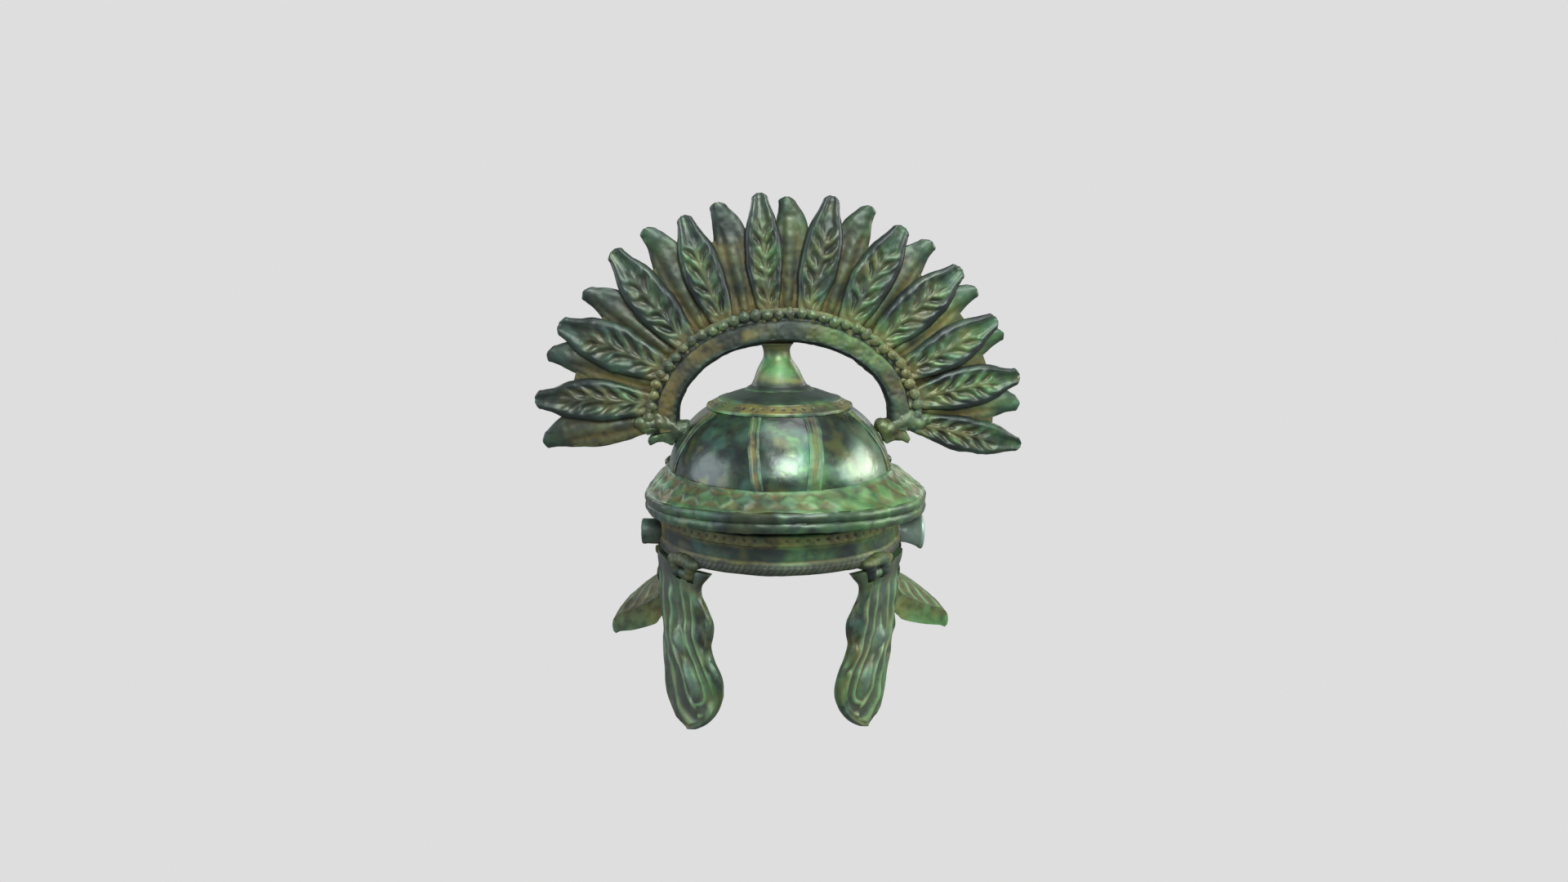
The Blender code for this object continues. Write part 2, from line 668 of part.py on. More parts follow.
def make_knobs():
    """Domed rivets on the rear ends of the peak."""
    seat = PEAK_SECTION[0]
    profile = [
        (0, KNOB_HEIGHT),
        (0.55 * KNOB_RADIUS, 0.90 * KNOB_HEIGHT),
        (0.90 * KNOB_RADIUS, 0.55 * KNOB_HEIGHT),
        (KNOB_RADIUS, 0),
        (0, 0),
    ]
    for side_name, side in SIDES.items():
        name = "peak_knob_" + side_name
        top = peak_top_height(KNOB_AZIMUTH)
        edge = top + (peak_foot_height(KNOB_AZIMUTH) - top) * seat["down"]
        inner = ring_point(dome_radius(top), side * KNOB_AZIMUTH, top)
        outer = peak_point(seat["out"], side * KNOB_AZIMUTH, edge)
        slope = (outer - inner).normalized()
        sideways = slope.cross(Vector((0, 0, 1))).normalized()
        upright = sideways.cross(slope).normalized()
        mesh = turned(name, profile, 12)
        knob = place(name, mesh, "dark bronze")
        knob.rotation_euler = upright.to_track_quat("Z", "Y").to_euler()
        knob.location = inner.lerp(outer, 0.55) + upright * FACET_GAP


def make_brow_band():
    inner = SKIRT_RADIUS + SEAT_GAP
    outer = inner + BAND_THICKNESS
    roll = outer + BAND_ROLL_BULGE
    strip = 0.27 * BAND_HEIGHT
    section = (
        (inner, BAND_HEIGHT),
        (outer, BAND_HEIGHT),
        (outer, BAND_HEIGHT - strip),
        (outer - 0.25 * BAND_THICKNESS, BAND_HEIGHT - 1.15 * strip),
        (outer - 0.25 * BAND_THICKNESS, 1.25 * BAND_ROLL_HEIGHT),
        (outer, BAND_ROLL_HEIGHT),
        (roll, 0.75 * BAND_ROLL_HEIGHT),
        (roll, 0.25 * BAND_ROLL_HEIGHT),
        (outer, 0),
        (inner, 0),
    )
    rings = [
        [ring_point(radius, azimuth, height) for radius, height in section]
        for azimuth in azimuths(-BAND_END_AZIMUTH, BAND_END_AZIMUTH)
    ]
    place("brow_band", loft("brow_band", rings), "dark bronze")


def make_bosses():
    sizes = {
        "left": (LEFT_BOSS_RADIUS, LEFT_BOSS_LENGTH),
        "right": (RIGHT_BOSS_RADIUS, RIGHT_BOSS_LENGTH),
    }
    for side_name, side in SIDES.items():
        radius, length = sizes[side_name]
        name = "side_boss_" + side_name
        profile = [
            (0, length),
            (0.88 * radius, length),
            (radius, 0.92 * length),
            (0.90 * radius, 0.62 * length),
            (BOSS_NECK_RADIUS, 0.34 * length),
            (BOSS_NECK_RADIUS, 0),
            (0, 0),
        ]
        boss = place(name, turned(name, profile, 18), "dark bronze")
        boss.rotation_euler = (0, side * math.pi / 2, 0)
        boss.location = (side * (SKIRT_RADIUS + SEAT_GAP), 0, BOSS_Z)


def make_ear_guards():
    """Flanges that stand out along the front edges of the nape, behind the ears."""
    inner = SKIRT_RADIUS + SEAT_GAP
    outline = (
        (0.00, 0.02), (0.78, 0.12), (1.00, 0.24), (0.96, 0.42),
        (0.70, 0.74), (0.50, 0.92), (0.25, 1.00), (0.00, 1.00),
    )
    start = EAR_CUT_Y + SEAT_GAP
    for side_name, side in SIDES.items():
        name = "ear_guard_" + side_name
        rings = []
        for depth in (start, start + EAR_GUARD_THICKNESS):
            lean = 1 - math.sqrt(1 - (depth / (HEAD_STRETCH * inner)) ** 2)
            rings.append([
                Vector((
                    side * (inner * (1 - lean) + EAR_GUARD_REACH * out),
                    depth,
                    -EAR_GUARD_HEIGHT * low,
                ))
                for out, low in outline
            ])
        place(name, loft(name, rings), "brown bronze")


def make_neck_guard():
    end_azimuth = 360 - NECK_START_AZIMUTH
    stations = azimuths(NECK_START_AZIMUTH, end_azimuth)
    inner = SKIRT_RADIUS + SEAT_GAP
    stretch_back = NECK_LENGTH / HEAD_STRETCH
    rings = []
    for number, azimuth in enumerate(stations):
        swell = side_swell(azimuth)
        outer = 1 / math.hypot(
            math.sin(math.radians(azimuth)) / NECK_HALF_WIDTH,
            math.cos(math.radians(azimuth)) / stretch_back,
        )
        edge = NECK_REAR_EDGE_Z + (NECK_SIDE_EDGE_Z - NECK_REAR_EDGE_Z) * swell**2
        drop = NECK_ROOT_TOP_Z - edge
        reach = outer - inner
        at_end = number in (0, 1, len(stations) - 2, len(stations) - 1)
        plate = NECK_LIP_HEIGHT if at_end else NECK_PLATE
        lip = NECK_LIP_WIDTH / reach
        points = (
            (0.00, NECK_ROOT_TOP_Z),
            (0.30, NECK_ROOT_TOP_Z - 0.36 * drop),
            (0.65, NECK_ROOT_TOP_Z - 0.72 * drop),
            (0.96, edge + 0.02 * drop),
            (1.00, edge - 0.25 * NECK_LIP_HEIGHT),
            (0.97, edge - 0.85 * NECK_LIP_HEIGHT),
            (0.92, edge - NECK_LIP_HEIGHT),
            (1.00 - lip, edge - NECK_LIP_HEIGHT),
            (0.95 - lip, NECK_ROOT_TOP_Z - (0.95 - lip) * drop - plate),
            (0.65, NECK_ROOT_TOP_Z - 0.72 * drop - plate),
            (0.30, NECK_ROOT_TOP_Z - 0.36 * drop - plate),
            (0.00, NECK_ROOT_TOP_Z - 0.05 * drop - plate),
        )
        rings.append([
            ring_point(inner + reach * out, azimuth, z) + Vector((out * NECK_SHIFT, 0, 0))
            for out, z in points
        ])
    place("neck_guard", loft("neck_guard", rings), "green bronze")


def hinge_frame(side_name, side):
    """The middle of a cheek hinge, and unit vectors along its axis and outwards."""
    angle = math.radians(HINGE_AZIMUTHS[side_name])
    middle = ring_point(CHEEK_RADIUS, side * HINGE_AZIMUTHS[side_name], HINGE_AXIS_Z)
    along = Vector((side * math.cos(angle), HEAD_STRETCH * math.sin(angle), 0)).normalized()
    outward = Vector((side * along.y, -side * along.x, 0))
    return middle, along, outward


def cheek_point(side_name, side, across, height, lift):
    """A point of a cheek guard: across is a share of its span from the hinge, rearwards."""
    lean = math.tan(math.radians(CHEEK_LEANS[side_name])) * (HINGE_AXIS_Z - height)
    azimuth = side * (HINGE_AZIMUTHS[side_name] + across * CHEEK_SPAN)
    return ring_point(CHEEK_RADIUS + lift - lean, azimuth, height)


def make_cheek_guard(side_name, side):
    middle, along, outward = hinge_frame(side_name, side)
    half_wall = CHEEK_WALL / 2
    rings = []
    for row in CHEEK_ROWS:
        outside, inside = [], []
        for point in CHEEK_ACROSS:
            across = row["front"] + (row["rear"] - row["front"]) * point["share"]
            height = -CHEEK_LENGTH * row["drop"]
            lift = half_wall - CHEEK_BORDER_DROP * (1 - point["lift"])
            outside.append(cheek_point(side_name, side, across, height, lift))
            inside.append(cheek_point(side_name, side, across, height, -half_wall))
        rings.append(outside + inside[::-1])
    name = "cheek_guard_" + side_name
    guard = place(name, loft(name, rings, strip_caps=True), "green bronze")
    notch_foot = HINGE_AXIS_Z - HINGE_RADIUS - HINGE_NOTCH_GAP
    notch_centre = Vector((middle.x, middle.y, notch_foot / 2))
    notch = block("notch", notch_centre, along, outward,
                  (HINGE_LENGTH + 2 * HINGE_NOTCH_GAP, 6 * CHEEK_WALL, -notch_foot))
    boolean(guard, place_tool("cheek_notch_" + side_name, notch), "DIFFERENCE")
    half = HINGE_MIDDLE_LENGTH / 2
    knuckle_radius = HINGE_RADIUS - PIN_GAP
    knuckle = cylinder_between("knuckle", middle - along * half, middle + along * half, knuckle_radius)
    boolean(guard, place_tool("cheek_knuckle_" + side_name, knuckle), "UNION")
    web_foot = notch_foot - 2 * HINGE_NOTCH_GAP
    web_centre = Vector((middle.x, middle.y, (HINGE_AXIS_Z + web_foot) / 2))
    web = block("web", web_centre, along, outward,
                (HINGE_MIDDLE_LENGTH - 2 * HINGE_WEB_INSET, HINGE_WEB_THICKNESS, HINGE_AXIS_Z - web_foot))
    boolean(guard, place_tool("cheek_web_" + side_name, web), "UNION")
    drill = cylinder_between("drill", middle - along * HINGE_LENGTH, middle + along * HINGE_LENGTH,
                             PIN_RADIUS + PIN_GAP)
    boolean(guard, place_tool("cheek_drill_" + side_name, drill), "DIFFERENCE")


def make_hinge(side_name, side):
    """The fixed half of a cheek hinge under the brow band, and its pin."""
    middle, along, outward = hinge_frame(side_name, side)
    bridge_top = -SEAT_GAP
    bridge_z = bridge_top - HINGE_BRIDGE_THICKNESS / 2
    bridge_centre = Vector((middle.x, middle.y, bridge_z)) - outward * HINGE_BRIDGE_INSET
    name = "hinge_lug_" + side_name
    bridge = block(name, bridge_centre, along, outward,
                   (HINGE_LENGTH, HINGE_BRIDGE_WIDTH, HINGE_BRIDGE_THICKNESS))
    lug = place(name, bridge, "dark bronze")
    inner_end = HINGE_MIDDLE_LENGTH / 2 + HINGE_END_GAP
    outer_end = HINGE_LENGTH / 2
    for part, sign in (("fore", -1), ("aft", 1)):
        start = middle + along * (sign * inner_end)
        end = middle + along * (sign * outer_end)
        knuckle = cylinder_between("knuckle", start, end, HINGE_RADIUS)
        boolean(lug, place_tool(f"lug_knuckle_{part}_{side_name}", knuckle), "UNION")
        web_height = bridge_z - HINGE_AXIS_Z
        web_middle = (start + end) / 2 + Vector((0, 0, web_height / 2))
        web = block("web", web_middle, along, outward,
                    (outer_end - inner_end - HINGE_WEB_INSET, 1.5 * HINGE_RADIUS, web_height))
        boolean(lug, place_tool(f"lug_web_{part}_{side_name}", web), "UNION")
    drill = cylinder_between("drill", middle - along * HINGE_LENGTH, middle + along * HINGE_LENGTH,
                             PIN_RADIUS + SEAT_GAP)
    boolean(lug, place_tool("lug_drill_" + side_name, drill), "DIFFERENCE")
    name = "hinge_pin_" + side_name
    pin = cylinder_between(name, middle - along * outer_end, middle + along * outer_end, PIN_RADIUS, 12)
    place(name, pin, "brown bronze")


def main():
    make_bowl()
    make_straps()
    make_crown_plate()
    make_crest_post()
    make_crest_arch()
    make_feathers()
    make_crest_feet()
    make_peak()
    make_knobs()
    make_brow_band()
    make_bosses()
    make_ear_guards()
    make_neck_guard()
    for side_name, side in SIDES.items():
        make_cheek_guard(side_name, side)
        make_hinge(side_name, side)


clear_scene()
HELMET = collection("centurion_helmet")
TOOLS = collection("cutting_tools")
main()
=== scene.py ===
"""Dresses the centurion's helmet: the relief of the casting, its patina, the stage and the camera.

Metres, in the frame of the solids: +Z up, the wearer faces -Y, azimuth 0 at the brow and 90 at the side.
Each piece is a fine closed mesh that stands for the plain solid of the same name.
"""

import functools
import itertools
import math

import bmesh
import bpy
import numpy as np
from mathutils import Matrix, Vector


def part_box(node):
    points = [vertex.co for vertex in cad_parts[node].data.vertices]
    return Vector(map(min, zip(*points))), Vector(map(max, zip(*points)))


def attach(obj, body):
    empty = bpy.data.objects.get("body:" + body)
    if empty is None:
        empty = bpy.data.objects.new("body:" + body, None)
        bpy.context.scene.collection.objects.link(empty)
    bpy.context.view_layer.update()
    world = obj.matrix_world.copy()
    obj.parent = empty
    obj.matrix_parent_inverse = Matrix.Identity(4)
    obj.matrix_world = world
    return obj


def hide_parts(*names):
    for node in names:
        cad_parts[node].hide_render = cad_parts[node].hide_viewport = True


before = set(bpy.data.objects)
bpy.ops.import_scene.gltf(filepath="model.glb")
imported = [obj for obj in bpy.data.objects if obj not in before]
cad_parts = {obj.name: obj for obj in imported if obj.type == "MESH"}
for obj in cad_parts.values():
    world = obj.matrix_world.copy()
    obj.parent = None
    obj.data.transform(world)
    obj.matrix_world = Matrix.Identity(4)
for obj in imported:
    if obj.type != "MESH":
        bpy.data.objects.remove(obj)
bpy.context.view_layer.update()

bl_info = {
    "name": "Centurion Helmet",
    "version": (1, 0, 0),
    "blender": (4, 5, 0),
    "location": "View3D > Sidebar > Helmet",
    "description": "Builds a cast bronze helmet with a transverse crest, its patina and a plain stage",
    "category": "Object",
}

SIDES = {"left": -1, "right": 1}

# Sizes read from the frame
BOWL_LOW, BOWL_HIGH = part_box("bowl")
SKIRT_RADIUS = BOWL_HIGH.x
HEAD_STRETCH = BOWL_HIGH.y / BOWL_HIGH.x
PLATE_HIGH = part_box("crown_plate")[1]
POST_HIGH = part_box("crest_post")[1]
BAND_LOW, BAND_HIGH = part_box("brow_band")

# Sizes that the frame's boxes don't show
SEAT_GAP = 0.0003
SKIRT_FLARE = 0.004
BOWL_RADIUS = SKIRT_RADIUS - SKIRT_FLARE
DOME_BASE_Z = 0.0725
DOME_HEIGHT = BOWL_HIGH.z - DOME_BASE_Z
SKIRT_SHOULDER_Z = 0.040
BOWL_WALL = 0.0028
BROW_CUT_Z = 0.002
EAR_AZIMUTH = 91.95
CREST_X = 0.0044
ARCH_HALF_SPAN = 0.1012
ARCH_RISE = 0.0716
ARCH_BAND = 0.0190
ARCH_HALF_DEPTH = 0.0110
ARCH_END_ANGLE = -9.0
ARCH_CENTRE_Z = POST_HIGH.z + 0.0006 - ARCH_RISE
FIN_REACH = 0.086
FIN_HALF = 0.0008
PEAK_REACH = 0.0290
PEAK_SHIFT = 0.0060
PEAK_TOP_Z = 0.0740
PEAK_SLOPE_DROP = 0.0125
PEAK_EDGE_HEIGHT = 0.0180
PEAK_SIDE_DIP = 0.0070
PEAK_SIDE_RISE = 0.0044
PEAK_END_AZIMUTH = 120.0
BAND_END_AZIMUTH = 82.5
BAND_THICKNESS = 0.0042
NECK_START_AZIMUTH = 97.5
NECK_HALF_WIDTH = 0.1748
NECK_SHIFT = 0.0035
NECK_LENGTH = 0.200
NECK_ROOT_Z = -0.036
NECK_SIDE_EDGE_Z = -0.086
NECK_REAR_EDGE_Z = -0.062
NECK_PLATE = 0.004
NECK_LIP_HEIGHT = 0.0165
CHEEK_STAND_OFF = 0.0045
CHEEK_SPAN = 54.1
CHEEK_LENGTH = 0.1610
CHEEK_WALL = 0.0052
HINGE_AXIS_Z = -0.0090
HINGE_AZIMUTHS = {"left": 51.0, "right": 46.0}
CHEEK_LEANS = {"left": 1.0, "right": 4.0}
KNUCKLE_LENGTH = 0.011
KNUCKLE_RADIUS = 0.0050
KNUCKLE_WEB = (0.009, 0.005)
PIN_BORE_RADIUS = 0.0023
PIN_BORE_LENGTH = 0.052
NOTCH_SIZE = (0.029, 0.032)
NOTCH_DROP = 0.0070

# An edge sharper than this, in degrees, isn't shaded smooth
SHARP_ANGLE = 62
# A hollow this deep fills its mask: one as narrow as a groove, and one as broad as a fold
FINE_HOLLOW = 0.00016
BROAD_HOLLOW = 0.00075

# The camera at the photo's angle, and what it looks at
VIEW_TARGET = Vector((0.0044, 0.0, 0.1005))
VIEW_DISTANCE = 1.043
VIEW_AZIMUTH = 3.2
VIEW_ELEVATION = 9.5
VIEW_HEIGHT_ANGLE = 45.0

# Across the arch's face, from the hole's edge to the beads: how far it stands out, in half depths
ARCH_ACROSS = (0.00, 0.07, 0.17, 0.40, 0.60, 0.70, 0.77, 0.87, 1.00)
ARCH_SWELL = (0.78, 0.95, 1.00, 0.98, 0.88, 0.74, 0.78, 0.88, 0.82)
# The face runs on past the solid's edge over the feathers' roots
ARCH_FACE = 0.0330

# One feather from root to tip, with a rounded nib: shares of its length, half width and depth.
# A rear feather is broad on its side towards the crest's middle and steep on its other side.
FEATHER_ALONG = (0.00, 0.16, 0.38, 0.58, 0.76, 0.88, 0.94, 0.98, 1.00)
FRONT_WIDTH = (0.44, 0.66, 0.95, 1.00, 0.84, 0.55, 0.44, 0.35, 0.14)
REAR_BROAD_WIDTH = (0.50, 0.75, 1.02, 1.15, 1.18, 0.90, 0.62, 0.42, 0.16)
REAR_STEEP_WIDTH = (0.50, 0.75, 1.02, 1.05, 0.78, 0.50, 0.45, 0.40, 0.16)
FEATHER_DEPTH = (0.75, 0.90, 1.00, 1.00, 0.92, 0.80, 0.70, 0.60, 0.42)
# Across a feather, from its middle to its edge: the face's height as a share of the depth
LEAF_ACROSS = (0.00, 0.30, 0.60, 0.80, 0.93, 1.00)
LEAF_HEIGHT = (0.76, 0.82, 1.00, 0.96, 0.74, 0.40)
# A cheek guard's edges from top to chin: places round the head as shares of its span
CHEEK_DROP = (0.024, 0.060, 0.105, 0.160, 0.243, 0.322, 0.388, 0.455, 0.533, 0.618, 0.697, 0.788, 0.873,
              0.945, 1.000)
CHEEK_FRONT = (-0.310, -0.262, -0.198, -0.187, -0.252, -0.308, -0.304, -0.279, -0.308, -0.374, -0.402,
               -0.378, -0.308, -0.196, -0.060)
CHEEK_REAR = (0.681, 0.686, 0.692, 0.697, 0.697, 0.697, 0.690, 0.672, 0.653, 0.616, 0.565, 0.508, 0.424,
              0.312, 0.160)
# A strap on each side: the azimuths of its ends, and the widths of the left and the right one
STRAPS = (
    {"place": "front", "foot": 13.0, "top": 20.0, "left": 1.05, "right": 1.40, "on_peak": True},
    {"place": "side", "foot": 71.0, "top": 62.0, "left": 1.00, "right": 1.10, "on_peak": True},
    {"place": "nape", "foot": 167.0, "top": 160.0, "left": 1.05, "right": 1.05, "on_peak": False},
    {"place": "rear_side", "foot": 126.0, "top": 118.0, "left": 1.00, "right": 1.00, "on_peak": False},
)


def linear(colour):
    """An sRGB hex colour as linear values."""
    parts = [int(colour[i:i + 2], 16) / 255 for i in (1, 3, 5)]
    return [part / 12.92 if part <= 0.04045 else ((part + 0.055) / 1.055) ** 2.4 for part in parts]


def length_property(name, description, default):
    return bpy.props.FloatProperty(
        name=name, description=description, default=default, min=0.0, unit="LENGTH", precision=5
    )


def colour_property(name, description, default):
    return bpy.props.FloatVectorProperty(
        name=name, description=description, default=linear(default), subtype="COLOR", min=0.0, max=1.0
    )


class HelmetRelief(bpy.types.PropertyGroup):
    """Sizes of the cast relief."""

    casting_wave: length_property("Casting wave", "How far the cast surface wanders", 0.00045)
    barb_pitch: length_property("Barb pitch", "Distance between barbs along a feather's rib", 0.0165)
    barb_depth: length_property("Barb depth", "Depth of the pits between barbs", 0.0026)
    rib_height: length_property("Rib height", "Height of a feather's rib", 0.0009)
    bead_pitch: length_property("Bead pitch", "Distance between beads on the arch's edge", 0.0108)
    bead_size: length_property("Bead size", "Radius of a bead on the arch's edge", 0.0042)
    dot_pitch: length_property("Dot pitch", "Distance between punched dots", 0.0096)
    dot_depth: length_property("Dot depth", "Depth of a punched dot", 0.0012)
    strap_width: length_property("Strap width", "Width of a rib over the bowl", 0.0095)
    wreath_pitch: length_property("Wreath pitch", "Length of two lozenges of the peak's wreath", 0.0400)
    wreath_height: length_property("Wreath height", "Height of the peak's wreath", 0.0017)
    cheek_ridge_pitch: length_property("Cheek ridge pitch", "Distance between nested ridges", 0.0172)
    cheek_ridge_height: length_property("Cheek ridge height", "Height of the nested ridges", 0.0024)
    neck_rib_height: length_property("Neck rib height", "Height of the neck guard's ribs", 0.0011)
    seed: bpy.props.IntProperty(name="Seed", description="Seed of the casting's unevenness", default=7)


class HelmetColours(bpy.types.PropertyGroup):
    """Colours of the patina."""

    # Also painted shade: round the post's base and on the bosses' end faces
    slate: colour_property("Slate", "Darkest blue-grey patina", "#1b2424")
    deep_green: colour_property("Deep green", "Deep green patina", "#294432")
    mid_green: colour_property("Mid green", "Common verdigris", "#4c7b45")
    # Also painted highlights: low on the right brow panel, and on the peak's top and wreath
    pale_green: colour_property("Pale green", "Worn, pale verdigris", "#8bae7c")
    teal: colour_property("Teal", "Bluish verdigris", "#46766a")
    # Also painted light: a reflection on the right brow panel, and the right boss's brightness
    bloom: colour_property("Bloom", "Blue-grey bloom on smooth, rubbed places", "#8ea198")
    olive: colour_property("Olive", "Verdigris mixed with earth", "#5e6030")
    ochre: colour_property("Ochre", "Earth and brown oxide in the hollows", "#7b6833")
    # Also the painted shade in nooks that the AO node finds
    brown: colour_property("Brown", "Dark brown oxide in the deepest hollows", "#382913")


class HelmetStage(bpy.types.PropertyGroup):
    """The floor, the lights and the camera."""

    floor_level: bpy.props.FloatProperty(
        name="Floor level", description="Height of the floor under the helmet", default=-0.32, unit="LENGTH"
    )
    key_power: bpy.props.FloatProperty(name="Key power", description="Power of the key light", default=9.0)
    backdrop: colour_property("Backdrop", "Colour of the floor and the backdrop", "#dedede")


def ramp(value, low, high):
    """0 below low, 1 above high, and smooth between."""
    share = np.clip((value - low) / (high - low), 0, 1)
    return share * share * (3 - 2 * share)


def fade(value, low, high):
    """1 below low, 0 above high, and smooth between."""
    return 1 - ramp(value, low, high)


def bump(value, centre, width):
    """1 at the centre, falling to 0 over about twice the width."""
    return np.exp(-(((value - centre) / width) ** 2))


def through(places, values, at):
    """A smooth curve through the values at the places."""
    places, values = np.array(places, float), np.array(values, float)
    slopes = np.gradient(values, places)
    i = np.clip(np.searchsorted(places, at, side="right") - 1, 0, len(places) - 2)
    span = places[i + 1] - places[i]
    t = np.clip((at - places[i]) / span, 0, 1)
    start = (2 * t**3 - 3 * t**2 + 1) * values[i] + (t**3 - 2 * t**2 + t) * span * slopes[i]
    return start + (3 * t**2 - 2 * t**3) * values[i + 1] + (t**3 - t**2) * span * slopes[i + 1]


def noise(points, size, seed=0):
    """Smooth noise from -1 to 1 at points in metres, in lumps of about that size."""
    scaled = np.asarray(points) / size + 31.7 * (seed + 1)
    cell = np.floor(scaled).astype(np.int64)
    part = scaled - cell
    ease = part * part * (3 - 2 * part)
    total = np.zeros(scaled.shape[:-1])
    for corner in itertools.product((0, 1), repeat=3):
        key = cell + corner
        mixed = (key[..., 0] * 73856093) ^ (key[..., 1] * 19349663) ^ (key[..., 2] * 83492791)
        mixed = ((mixed ^ (mixed >> 13)) * 1274126177) & 0x7FFFFFFF
        mixed = ((mixed ^ (mixed >> 11)) * 668265263) & 0x7FFFFFFF
        weight = np.prod(np.where(corner, ease, 1 - ease), axis=-1)
        total += weight * ((mixed >> 8) % 4096 / 2047.5 - 1)
    return total


def ring_point(radius, azimuth, height):
    """Points on the stretched circle round the head; azimuth in degrees."""
    angle = np.radians(azimuth)
    x = radius * np.sin(angle)
    y = -HEAD_STRETCH * radius * np.cos(angle)
    return np.stack(np.broadcast_arrays(x, y, height), axis=-1)


def dome_rise(radius, lift=0.0):
    """Height of the dome over a radius, lifted off its surface."""
    share = np.clip(radius / (BOWL_RADIUS + lift), 0, 1)
    return DOME_BASE_Z + (DOME_HEIGHT + lift) * np.sqrt(1 - share**2)


def dome_point(azimuth, climb, lift):
    """Points on the dome, climb degrees above its base, lifted off its surface."""
    angle = np.radians(climb)
    height = DOME_BASE_Z + (DOME_HEIGHT + lift) * np.sin(angle)
    return ring_point((BOWL_RADIUS + lift) * np.cos(angle), azimuth, height)


def skirt_radius(height):
    share = (DOME_BASE_Z - height) / (DOME_BASE_Z - SKIRT_SHOULDER_Z)
    return BOWL_RADIUS + SKIRT_FLARE * np.clip(share, 0, 1)


def side_swell(azimuth):
    """0 at brow and nape, 1 at the sides."""
    return np.sin(np.radians(azimuth)) ** 2


def arch_underside(x):
    share = np.clip((x - CREST_X) / ARCH_HALF_SPAN, -1, 1)
    return ARCH_CENTRE_Z + ARCH_RISE * np.sqrt(1 - share**2)


def emboss(grid, height):
    """Moves the points of a grid of closed rings out along their normals by a height."""
    along = np.gradient(grid, axis=0)
    round_ring = np.roll(grid, -1, 1) - np.roll(grid, 1, 1)
    normal = np.cross(round_ring, along)
    facing = np.sign((normal * (grid - grid.mean(axis=(0, 1)))).sum())
    normal /= np.maximum(np.linalg.norm(normal, axis=-1, keepdims=True), 1e-12)
    return grid + facing * normal * np.asarray(height)[..., None]


def skin(name, grid, looped=False, **masks):
    """A closed mesh over a grid: rows of closed rings, capped at both ends or looped end to end."""
    rows, ring = grid.shape[:2]
    index = np.arange(rows * ring).reshape(rows, ring)
    low, high = (index, np.roll(index, -1, 0)) if looped else (index[:-1], index[1:])
    quads = np.stack([low, np.roll(low, -1, 1), np.roll(high, -1, 1), high], axis=-1).reshape(-1, 4)
    faces = quads.tolist() + ([] if looped else [index[0].tolist(), index[-1].tolist()])
    mesh = bpy.data.meshes.new(name)
    mesh.from_pydata(grid.reshape(-1, 3).tolist(), [], faces)
    for mask, values in masks.items():
        attribute = mesh.attributes.new(mask, "FLOAT", "POINT")
        attribute.data.foreach_set("value", np.broadcast_to(values, (rows, ring)).astype(np.float32).ravel())
    return face_outwards(mesh)


def face_outwards(mesh):
    """Merges a closed mesh's doubles, turns its faces outwards and shades it smooth."""
    shape = bmesh.new()
    shape.from_mesh(mesh)
    bmesh.ops.remove_doubles(shape, verts=shape.verts, dist=1e-6)
    bmesh.ops.dissolve_degenerate(shape, edges=shape.edges, dist=1e-7)
    shape.normal_update()
    bmesh.ops.triangulate(shape, faces=[face for face in shape.faces if len(face.verts) > 4])
    bmesh.ops.recalc_face_normals(shape, faces=shape.faces)
    if shape.calc_volume(signed=True) < 0:
        bmesh.ops.reverse_faces(shape, faces=shape.faces)
    shape.to_mesh(mesh)
    shape.free()
    mesh.shade_smooth()
    mesh.set_sharp_from_angle(angle=math.radians(SHARP_ANGLE))
    return mesh


def read(collection, key, width):
    values = np.empty(len(collection) * width, np.float32)
    collection.foreach_get(key, values)
    return values.reshape(-1, width).astype(float)


def weather(mesh, seat=0.0013, breadth=0.0050):
    """Stores how deep each point lies in a hollow and how far it stands on an edge, each 0 to 1."""
    points = read(mesh.vertices, "co", 3)
    normals = read(mesh.vertex_normals, "vector", 3)
    pairs = read(mesh.edges, "vertices", 2).astype(np.int64)
    count = len(points)
    first, second = pairs[:, 0], pairs[:, 1]
    step = np.linalg.norm(points[first] - points[second], axis=1).mean()
    degree = np.maximum(np.bincount(pairs.ravel(), minlength=count), 1)[:, None]

    def relaxed(values, times):
        for _ in range(times):
            total = [
                np.bincount(first, values[second, k], count) + np.bincount(second, values[first, k], count)
                for k in range(3)
            ]
            values = 0.5 * values + 0.5 * np.stack(total, axis=1) / degree
        return values

    fine_times = int(np.clip(2 * (seat / step) ** 2, 2, 12))
    broad_times = int(np.clip(2 * (breadth / step) ** 2, 8, 46))
    fine = relaxed(points, fine_times)
    broad = relaxed(fine, broad_times)
    fine_sink = ((fine - points) * normals).sum(1) / FINE_HOLLOW
    broad_sink = ((broad - points) * normals).sum(1) / BROAD_HOLLOW
    sink = 0.55 * np.clip(fine_sink, -1.5, 1.5) + 0.75 * np.clip(broad_sink, -1.5, 1.5)
    for name, values in (("hollow", sink), ("edge", -sink)):
        attribute = mesh.attributes.get(name) or mesh.attributes.new(name, "FLOAT", "POINT")
        attribute.data.foreach_set("value", np.clip(values, 0, 1).astype(np.float32))


def place(name, mesh, material, slot, body, *nodes):
    """Links a finished mesh as a piece that rides on a body and stands for its CAD nodes."""
    weather(mesh)
    mesh.materials.clear()
    mesh.materials.append(material)
    piece = bpy.data.objects.new(name, mesh)
    bpy.context.scene.collection.objects.link(piece)
    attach(piece, body)
    if nodes:
        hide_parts(*nodes)
    return piece


def evaluated_mesh(mesh, steps):
    """The mesh after a list of modifiers, each a type and its settings."""
    holder = bpy.data.objects.new("holder", mesh)
    bpy.context.scene.collection.objects.link(holder)
    for kind, settings in steps:
        step = holder.modifiers.new(kind.lower(), kind)
        for key, value in settings.items():
            setattr(step, key, value)
    evaluated = holder.evaluated_get(bpy.context.evaluated_depsgraph_get())
    made = bpy.data.meshes.new_from_object(evaluated)
    bpy.data.objects.remove(holder)
    return made


